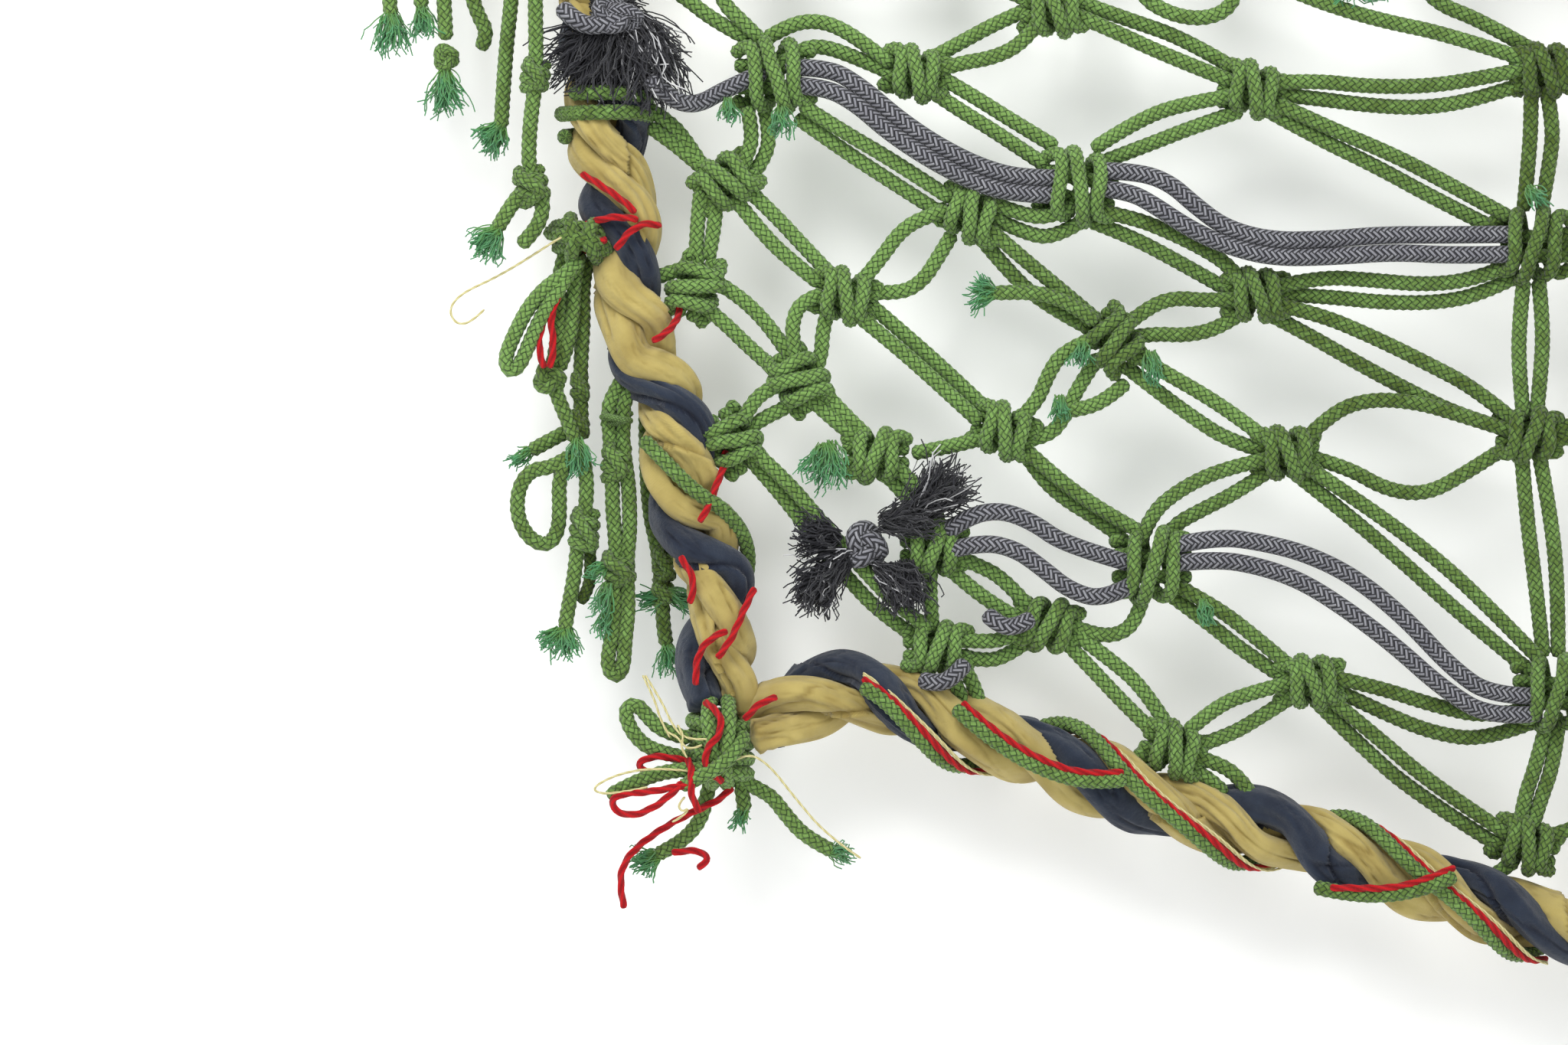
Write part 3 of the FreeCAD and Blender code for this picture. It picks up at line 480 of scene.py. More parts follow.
def fibre_finish(name, root_colour, tip_colour):
    """Loose yarn, paler or greener towards its ends."""
    material = plain_finish(name, 0.85, 0.2)
    tree = material.node_tree
    tip = tree.nodes.new("ShaderNodeAttribute")
    tip.attribute_name = "tip"
    cloudy = calculate(tree, "MULTIPLY", calculate(tree, "SUBTRACT", mottle(tree, 150), 0.4), 1.2)
    share = calculate(tree, "MINIMUM", calculate(tree, "MAXIMUM", calculate(tree, "ADD", tip.outputs["Fac"], cloudy), 0.0), 1.0)
    tree.links.new(blend_colours(tree, share, root_colour, tip_colour), tree.nodes["Principled BSDF"].inputs["Base Color"])
    return material


green_fibre = fibre_finish("green_fibre", (0.13, 0.28, 0.055), (0.09, 0.30, 0.125))

plain_tail = free_cord("plain_tail", flat(0.0, (-0.537, -0.048), (-0.539, -0.088), (-0.542, -0.135), (-0.548, -0.19), (-0.551, -0.244)), "tail_plain", "green_cord", green_braid,
                       nodes=["plain_tail_cord"], tone=0.30)
settle(tufts("plain_tail_fray", [((-0.551, 0, -0.243), (-0.008, 0, -0.022)), ((-0.551, 0, -0.243), (-0.018, 0, -0.012))],
             green_fibre, fibres=95, seed=3), "tail_plain", "green_fray", "plain_tail_tassel")

# ---------------------------------------------------------------- four cut ends at the far left
# Short ends of green cord on one tie. The third ends in a small overhand knot, and the
# fourth is doubled back on itself.
head_ends = [
    flat(0.0, (-0.647, -0.048), (-0.646, -0.08), (-0.644, -0.115), (-0.641, -0.152)),
    flat(0.0, (-0.619, -0.048), (-0.619, -0.08), (-0.618, -0.11), (-0.616, -0.146)),
    flat(0.0, (-0.602, -0.048), (-0.601, -0.085), (-0.598, -0.13), (-0.596, -0.172)),
    flat(0.0, (-0.579, -0.048), (-0.579, -0.09), (-0.577, -0.13), (-0.57, -0.152), (-0.561, -0.168), (-0.568, -0.18)),
]
HEAD_NAMES = ["head_end_a", "head_end_b", "head_end_c", "head_end_doubled"]
for name, route, tone in zip(HEAD_NAMES, head_ends, (0.35, 0.1, 0.35, 0.6)):
    free_cord(name, route, "tail_head", "green_cord", green_braid, tone=tone)
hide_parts("head_tail_cords")


def overhand(centre, width, height, depth, lean=0.0, laps=1.0):
    """The line of a tight overhand knot: three lobes that pass over and under."""
    turned = Matrix.Rotation(math.radians(lean), 3, "Y")
    points = []
    for step in range(int(19 * laps)):
        t = 2 * math.pi * step / 18
        wave = 1 + 0.5 * math.cos(3 * t)
        place = turned @ Vector((width * wave * math.cos(2 * t), -depth * math.sin(3 * t), height * wave * math.sin(2 * t)))
        points.append(tuple(Vector(centre) + place))
    return points


settle(skin("head_end_knot", [braid(overhand((-0.596, 0, -0.187), 0.0055, 0.0060, 0.0045), 0.0085, 0.3)], green_braid),
       "tail_head", "green_cord", "head_tail_knot")
settle(tufts("head_end_frays", [
    ((-0.641, 0, -0.150), (-0.006, 0, -0.034)), ((-0.641, 0, -0.150), (0.006, 0, -0.030)),
    ((-0.616, 0, -0.145), (0.002, 0, -0.026)), ((-0.596, 0, -0.198), (-0.004, 0, -0.034)),
    ((-0.596, 0, -0.198), (0.006, 0, -0.032)),
], green_fibre, fibres=75, seed=5), "tail_head", "green_fray", "head_tail_tassels")

# ---------------------------------------------------------------- tail with two wrapped knots
# One long cord in front of the border rope. Each knot is two and a half turns of its own
# cord round itself, with one turn laid slantwise over the front.
knotted_route = flat(-0.0382, (-0.518, -0.048), (-0.52, -0.09), (-0.521, -0.14), (-0.52, -0.196))
knotted_route += flat(-0.0382, (-0.521, -0.214), (-0.524, -0.235), (-0.526, -0.258), (-0.526, -0.284))
knotted_route += flat(-0.0382, (-0.515, -0.302), (-0.515, -0.318), (-0.522, -0.332), (-0.533, -0.343))
knotted_stub = skin("knotted_tail_stub", [braid([(-0.530, -0.038, -0.298)] + flat(-0.0382, (-0.534, -0.302), (-0.544, -0.316), (-0.552, -0.33)), CORD, 0.35)], green_braid)


def wrapped(centre, turns, ring, pitch, lean=0.0, per_turn=8):
    """Turns of cord wound round an upright axis, then one slantwise turn in front."""
    turned = Matrix.Rotation(math.radians(lean), 3, "Y")
    points = []
    for step in range(int(turns * per_turn) + 1):
        t = 2 * math.pi * step / per_turn
        rise = pitch * (turns / 2 - step / per_turn)
        points.append(Vector((ring * math.cos(t), ring * math.sin(t), rise)))
    half = pitch * turns / 2
    points += [Vector((ring * 0.9, -ring * 1.3, -half * 0.5)), Vector((0, -ring * 1.7, half * 0.1)),
               Vector((-ring * 0.9, -ring * 1.2, half * 0.8)), Vector((-ring * 0.6, 0, half * 1.15))]
    return [tuple(Vector(centre) + turned @ p) for p in points]


knotted_knots = skin("knotted_tail_knots_tied", [
    braid(wrapped((-0.521, -0.038, -0.206), 2.5, 0.0085, 0.0085, 8), 0.0095, 0.35),
    braid(wrapped((-0.524, -0.038, -0.295), 2.5, 0.0100, 0.0100, -12), 0.0105, 0.45),
], green_braid)
knotted_fray = tufts("knotted_tail_fray", [((-0.551, -0.038, -0.330), (-0.010, 0, -0.024)),
                                           ((-0.552, -0.038, -0.330), (-0.018, 0.002, -0.014))],
                     green_fibre, fibres=90, seed=8)
for piece, slot_name, cad_nodes in ((knotted_stub, "green_cord", ()), (knotted_knots, "green_cord", ("knotted_tail_knots",)),
                                    (knotted_fray, "green_fray", ("knotted_tail_tassel",))):
    settle(piece, "tail_knotted", slot_name, *cad_nodes)
free_cord("knotted_tail", knotted_route, "tail_knotted", "green_cord", green_braid, nodes=["knotted_tail_cords"],
          tone=0.35)

# ---------------------------------------------------------------- long loop and side bundle
# A doubled loop of green cord, a thin red loop in it, and a bundle of three cords that
# ends in knots, all tied in at the side knot of the left rope.
RED = 0.006              # diameter of the red wool cord


def wool(route, diameter=RED, tone=0.4):
    """Red cord: three soft plies twisted together."""
    lay = 2.6 * diameter

    def radius(i, j, along):
        return diameter / 2 * (0.94 + 0.12 * np.cos(3 * (2 * np.pi * i / 12) - 2 * np.pi * along / lay))

    return shell(smooth_line(route), 0.0016, 12, radius, lay, tone)


def twisted_finish(name, light, dark, plies, hairs, roughness, sheen, distance):
    """Twisted yarn: the hairs lie along the plies, and painted shade darkens the grooves between them."""
    material = plain_finish(name, roughness, sheen)
    tree = material.node_tree
    own_map = tree.nodes.new("ShaderNodeUVMap")
    own_map.uv_map = "skin"
    parts = tree.nodes.new("ShaderNodeSeparateXYZ")
    tree.links.new(own_map.outputs[0], parts.inputs[0])
    around = calculate(tree, "MULTIPLY", parts.outputs[0], 2 * math.pi * plies)
    twist = calculate(tree, "SUBTRACT", around, calculate(tree, "MULTIPLY", parts.outputs[1], 2 * math.pi))
    ply = calculate(tree, "ADD", calculate(tree, "MULTIPLY", calculate(tree, "COSINE", twist), 0.5), 0.5)
    fuzz = mottle(tree, 900, 2.0)
    strand = calculate(tree, "SINE", calculate(tree, "MULTIPLY", twist, hairs))
    height = calculate(tree, "ADD", calculate(tree, "ADD", ply, calculate(tree, "MULTIPLY", strand, 0.15)), fuzz)
    raise_surface(tree, height, distance)
    # painted shade: the light colour on each ply's crest, the dark one in the grooves between plies; the fuzz adds
    # random tone
    lit = calculate(tree, "ADD", calculate(tree, "MULTIPLY", ply, 0.7), calculate(tree, "MULTIPLY", fuzz, 0.5))
    lit = calculate(tree, "MINIMUM", lit, 1.0)
    tree.links.new(blend_colours(tree, lit, dark, light), tree.nodes["Principled BSDF"].inputs["Base Color"])
    return material


# its second colour is the painted shade in the grooves between the plies
red_wool = twisted_finish("red_wool", (0.58, 0.008, 0.012), (0.17, 0.003, 0.006), 3, 5, 0.9, 0.08, 0.0008)

free_cord("long_green_loop", [(-0.486, -0.014, -0.352)] + flat(-0.02, (-0.495, -0.364), (-0.512, -0.374), (-0.528, -0.392), (-0.54, -0.416), (-0.547, -0.434), (-0.543, -0.445), (-0.534, -0.439), (-0.524, -0.414), (-0.511, -0.388), (-0.499, -0.372)) + [(-0.492, -0.014, -0.358)], "tail_side", "green_cord", green_braid, nodes=["long_loop"],
          tone=0.1)
red_loops = [
    flat(-0.02, (-0.512, -0.393), (-0.517, -0.408), (-0.52, -0.424), (-0.515, -0.441)),
    flat(-0.02, (-0.51, -0.398), (-0.508, -0.412), (-0.507, -0.428), (-0.51, -0.441)),
]
red_loops[0].insert(0, (-0.502, -0.020, -0.366))
red_loops[1].insert(0, (-0.499, -0.020, -0.370))
for name, route in zip(("red_loop_left", "red_loop_right"), red_loops):
    free_cord(name, route, "tail_side", "red_cord", red_wool, RED, make=wool)
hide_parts("long_red_loop")

side_cords = [
    flat(-0.003, (-0.504, -0.364), (-0.503, -0.388), (-0.504, -0.414), (-0.509, -0.441)),
    flat(-0.003, (-0.491, -0.364), (-0.492, -0.392), (-0.495, -0.42), (-0.504, -0.442)),
    flat(0.008, (-0.485, -0.37), (-0.484, -0.4), (-0.486, -0.43), (-0.487, -0.462), (-0.485, -0.498)),
    flat(-0.003, (-0.507, -0.457), (-0.502, -0.471), (-0.496, -0.484), (-0.49, -0.5)),
    flat(0.016, (-0.494, -0.49), (-0.51, -0.498), (-0.528, -0.508)),
]
for route, top in zip(side_cords, ((-0.498, -0.003, -0.346), (-0.486, -0.003, -0.346), (-0.480, 0.008, -0.350))):
    route.insert(0, top)
side_rest = skin("side_short_ends", [braid(side_cords[3], CORD, 0.4), braid(side_cords[4], CORD, 0.5)], green_braid)
side_knots = skin("side_knots_tied", [
    braid(overhand((-0.511, -0.006, -0.449), 0.0070, 0.0070, 0.0055, 20), 0.0105, 0.45),
    braid(wrapped((-0.487, 0.006, -0.456), 2.0, 0.0045, 0.0090), 0.0085, 0.8),
    braid(wrapped((-0.487, 0.006, -0.486), 2.0, 0.0045, 0.0090), 0.0085, 0.85),
], green_braid)
side_frays = tufts("side_frays", [((-0.489, -0.004, -0.500), (-0.002, 0, -0.027)), ((-0.489, -0.004, -0.500), (0.006, 0, -0.024)),
                                  ((-0.529, 0.016, -0.508), (-0.014, 0, -0.010))], green_fibre, fibres=70, seed=11)
settle(side_rest, "tail_side", "green_cord")
settle(side_knots, "tail_side", "green_cord", "side_tail_knots")
settle(side_frays, "tail_side", "green_fray", "side_tail_tassels")
for name, route, tone in zip(("side_cord_front", "side_cord_middle", "side_cord_behind"), side_cords, (0.55, 0.45, 0.85)):
    free_cord(name, route, "tail_side", "green_cord", green_braid, tone=tone)
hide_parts("side_tail_cords")

# ---------------------------------------------------------------- teardrop loop and ball knot
# Hangs from the side bundle: a closed loop of cord, and a tail whose ball knot is three
# turns wound tight.
lower_cords = [
    flat(-0.002, (-0.509, -0.522), (-0.526, -0.523), (-0.537, -0.538), (-0.538, -0.562), (-0.528, -0.58),
         (-0.513, -0.586), (-0.504, -0.574), (-0.503, -0.552), (-0.504, -0.532)),
    flat(0.0, (-0.482, -0.522), (-0.481, -0.538), (-0.482, -0.556)),
    flat(0.0, (-0.489, -0.588), (-0.491, -0.61), (-0.496, -0.635), (-0.499, -0.654)),
    flat(0.008, (-0.479, -0.588), (-0.478, -0.604), (-0.48, -0.622), (-0.487, -0.632)),
]
lower_knot = skin("lower_ball_knot", [braid(wrapped((-0.483, 0, -0.573), 3.0, 0.0085, 0.0095, 5), 0.0100, 0.4)], green_braid)
lower_bight = skin("lower_small_bight", [braid(lower_cords[3], 0.010, 0.85)], green_braid)
lower_fray = tufts("lower_fray", [((-0.499, 0, -0.653), (-0.004, 0, -0.024)), ((-0.499, 0, -0.653), (0.006, 0, -0.020)),
                                  ((-0.503, 0, -0.655), (-0.014, 0, -0.010))], green_fibre, fibres=75, seed=13)
settle(lower_knot, "tail_lower", "green_cord", "lower_tail_knot")
settle(lower_bight, "tail_lower", "green_cord")
settle(lower_fray, "tail_lower", "green_fray", "lower_tail_tassel")
free_cord("teardrop_loop", [(-0.494, -0.002, -0.512)] + lower_cords[0] + [(-0.498, -0.002, -0.516)], "tail_lower", "green_cord", green_braid, nodes=["drop_loop"],
          tone=0.45)
free_cord("lower_tail", [(-0.486, 0, -0.506)] + lower_cords[1] + lower_cords[2], "tail_lower", "green_cord", green_braid,
          tone=0.35)

# ---------------------------------------------------------------- thick doubled tail
# One cord folded in half. Two knots and a short whipping hold its halves together, and
# the fold is the tail's round tip.
thick = [
    flat(0.0, (-0.463, -0.466), (-0.463, -0.482), (-0.462, -0.502)),
    flat(0.0, (-0.451, -0.466), (-0.451, -0.482), (-0.452, -0.502)),
    flat(0.0, (-0.46, -0.534), (-0.46, -0.556), (-0.458, -0.575), (-0.457, -0.594)),
    flat(0.0, (-0.447, -0.534), (-0.446, -0.556), (-0.446, -0.575), (-0.448, -0.594)),
    flat(0.0, (-0.459, -0.616), (-0.458, -0.636), (-0.46, -0.658), (-0.464, -0.676), (-0.463, -0.688),
         (-0.456, -0.693), (-0.451, -0.684), (-0.45, -0.664), (-0.447, -0.638), (-0.448, -0.616)),
]
thick_route = [(-0.446, 0.010, -0.440)] + thick[0] + thick[2] + thick[4] + thick[3][::-1] + thick[1][::-1] + [(-0.438, 0.008, -0.444)]
thick_knots = skin("thick_knots_tied", [
    braid(wrapped((-0.457, 0, -0.518), 2.5, 0.0085, 0.0105, 4), 0.0105, 0.45),
    braid(wrapped((-0.455, 0, -0.605), 2.5, 0.0095, 0.0095, -8), 0.0105, 0.5),
], green_braid)
thick_whipping = skin("thick_whipping", [braid(wrapped((-0.457, 0, -0.482), 1.5, 0.0125, 0.0060), 0.0045, 0.2)], green_braid)
thick_frays = tufts("thick_frays", [((-0.466, -0.006, -0.602), (-0.014, -0.004, -0.008)), ((-0.464, -0.006, -0.618), (-0.006, -0.006, -0.026)),
                                    ((-0.464, -0.004, -0.640), (-0.005, -0.003, -0.022))], green_fibre, fibres=45, seed=17)
settle(thick_knots, "tail_thick", "green_cord", "thick_tail_knots")
settle(thick_whipping, "tail_thick", "green_cord")
settle(thick_frays, "tail_thick", "green_fray")
free_cord("thick_tail", thick_route, "tail_thick", "green_cord", green_braid, nodes=["thick_tail_cords"],
          tone=0.35)

# ---------------------------------------------------------------- tail behind the rope
# A darker cord behind the border rope, with two small knots and a frayed end.
inner = [
    flat(0.0382, (-0.434, -0.468), (-0.434, -0.5), (-0.433, -0.535), (-0.43, -0.565), (-0.424, -0.588)),
    flat(0.0382, (-0.42, -0.634), (-0.42, -0.65), (-0.417, -0.668)),
]
inner_knots = skin("inner_knots_tied", [
    braid(wrapped((-0.419, 0.038, -0.602), 2.5, 0.0065, 0.0105), 0.0090, 0.75),
    braid(wrapped((-0.420, 0.038, -0.626), 1.5, 0.0065, 0.0090), 0.0090, 0.6),
], green_braid)
inner_fray = tufts("inner_fray", [((-0.417, 0.038, -0.666), (0.002, 0, -0.026)), ((-0.417, 0.038, -0.624), (-0.022, 0, -0.010)),
                                  ((-0.417, 0.038, -0.624), (0.022, 0, -0.012))], green_fibre, fibres=75, seed=19)
settle(inner_knots, "tail_inner", "green_cord", "inner_tail_knots")
settle(inner_fray, "tail_inner", "green_fray", "inner_tail_tassel")
free_cord("inner_tail", [(-0.430, 0.036, -0.446)] + inner[0] + inner[1], "tail_inner", "green_cord", green_braid, nodes=["inner_tail_cords"],
          tone=0.7)

# ---------------------------------------------------------------- tails at the lower left corner
# Two green ends and two red ends that come out of the corner's binding knot.
corner_green = [
    flat(0.0, (-0.384, -0.792), (-0.386, -0.804), (-0.394, -0.818), (-0.408, -0.83), (-0.424, -0.838)),
    flat(0.0, (-0.354, -0.79), (-0.352, -0.802)),
]
corner_stub = skin("corner_stub", [braid([(-0.356, 0, -0.770)] + corner_green[1], CORD, 0.4)], green_braid)
corner_frays = tufts("corner_frays", [((-0.424, 0, -0.838), (-0.020, 0, -0.006)), ((-0.424, 0, -0.838), (-0.014, 0, -0.014)),
                                      ((-0.353, 0, -0.801), (-0.005, 0, -0.014))], green_fibre, fibres=70, seed=23)
settle(corner_stub, "tail_corner", "green_cord")
settle(corner_frays, "tail_corner", "green_fray", "corner_tail_tassels")
free_cord("corner_tail", [(-0.378, 0, -0.772)] + corner_green[0], "tail_corner", "green_cord", green_braid,
          nodes=["corner_tail_cords"], tone=0.2)
corner_reds = [
    flat(-0.016, (-0.372, -0.792), (-0.388, -0.799), (-0.412, -0.811), (-0.436, -0.827), (-0.45, -0.842),
         (-0.454, -0.86), (-0.45, -0.88)),
    flat(-0.016, (-0.404, -0.834), (-0.391, -0.833), (-0.383, -0.837), (-0.383, -0.843), (-0.39, -0.848)),
]
free_cord("corner_red_long", [(-0.362, -0.016, -0.782)] + corner_reds[0], "tail_corner", "red_cord", red_wool, RED, make=wool, nodes=["corner_red_cord"])
free_cord("corner_red_short", [(-0.411, -0.016, -0.835)] + corner_reds[1], "tail_corner", "red_cord", red_wool, RED, make=wool)

right_fray = tufts("right_tail_fray", [((-0.280, 0, -0.835), (0.014, 0, -0.006)), ((-0.280, 0, -0.835), (0.010, 0, 0.004))],
                   green_fibre, fibres=70, seed=29)
settle(right_fray, "tail_right", "green_fray", "right_tail_tassel")
free_cord("right_tail", [(-0.362, -0.004, -0.772)] + flat(0.0, (-0.342, -0.784), (-0.33, -0.79), (-0.318, -0.806), (-0.302, -0.824), (-0.28, -0.835)), "tail_right", "green_cord", green_braid, nodes=["right_tail_cord"],
          tone=0.25)

# ---------------------------------------------------------------- net cords
# The same green cord, always laid in pairs from knot to knot. The cord gets darker and
# browner towards the right, where it is older.
def cord_tone(route):
    """How worn a cord is, from its middle."""
    x, y, z = route[len(route) // 2]
    return min(0.85, max(0.05, 0.28 + 1.0 * x + 0.5 * noise.noise(Vector((x * 9, 0, z * 9)))))


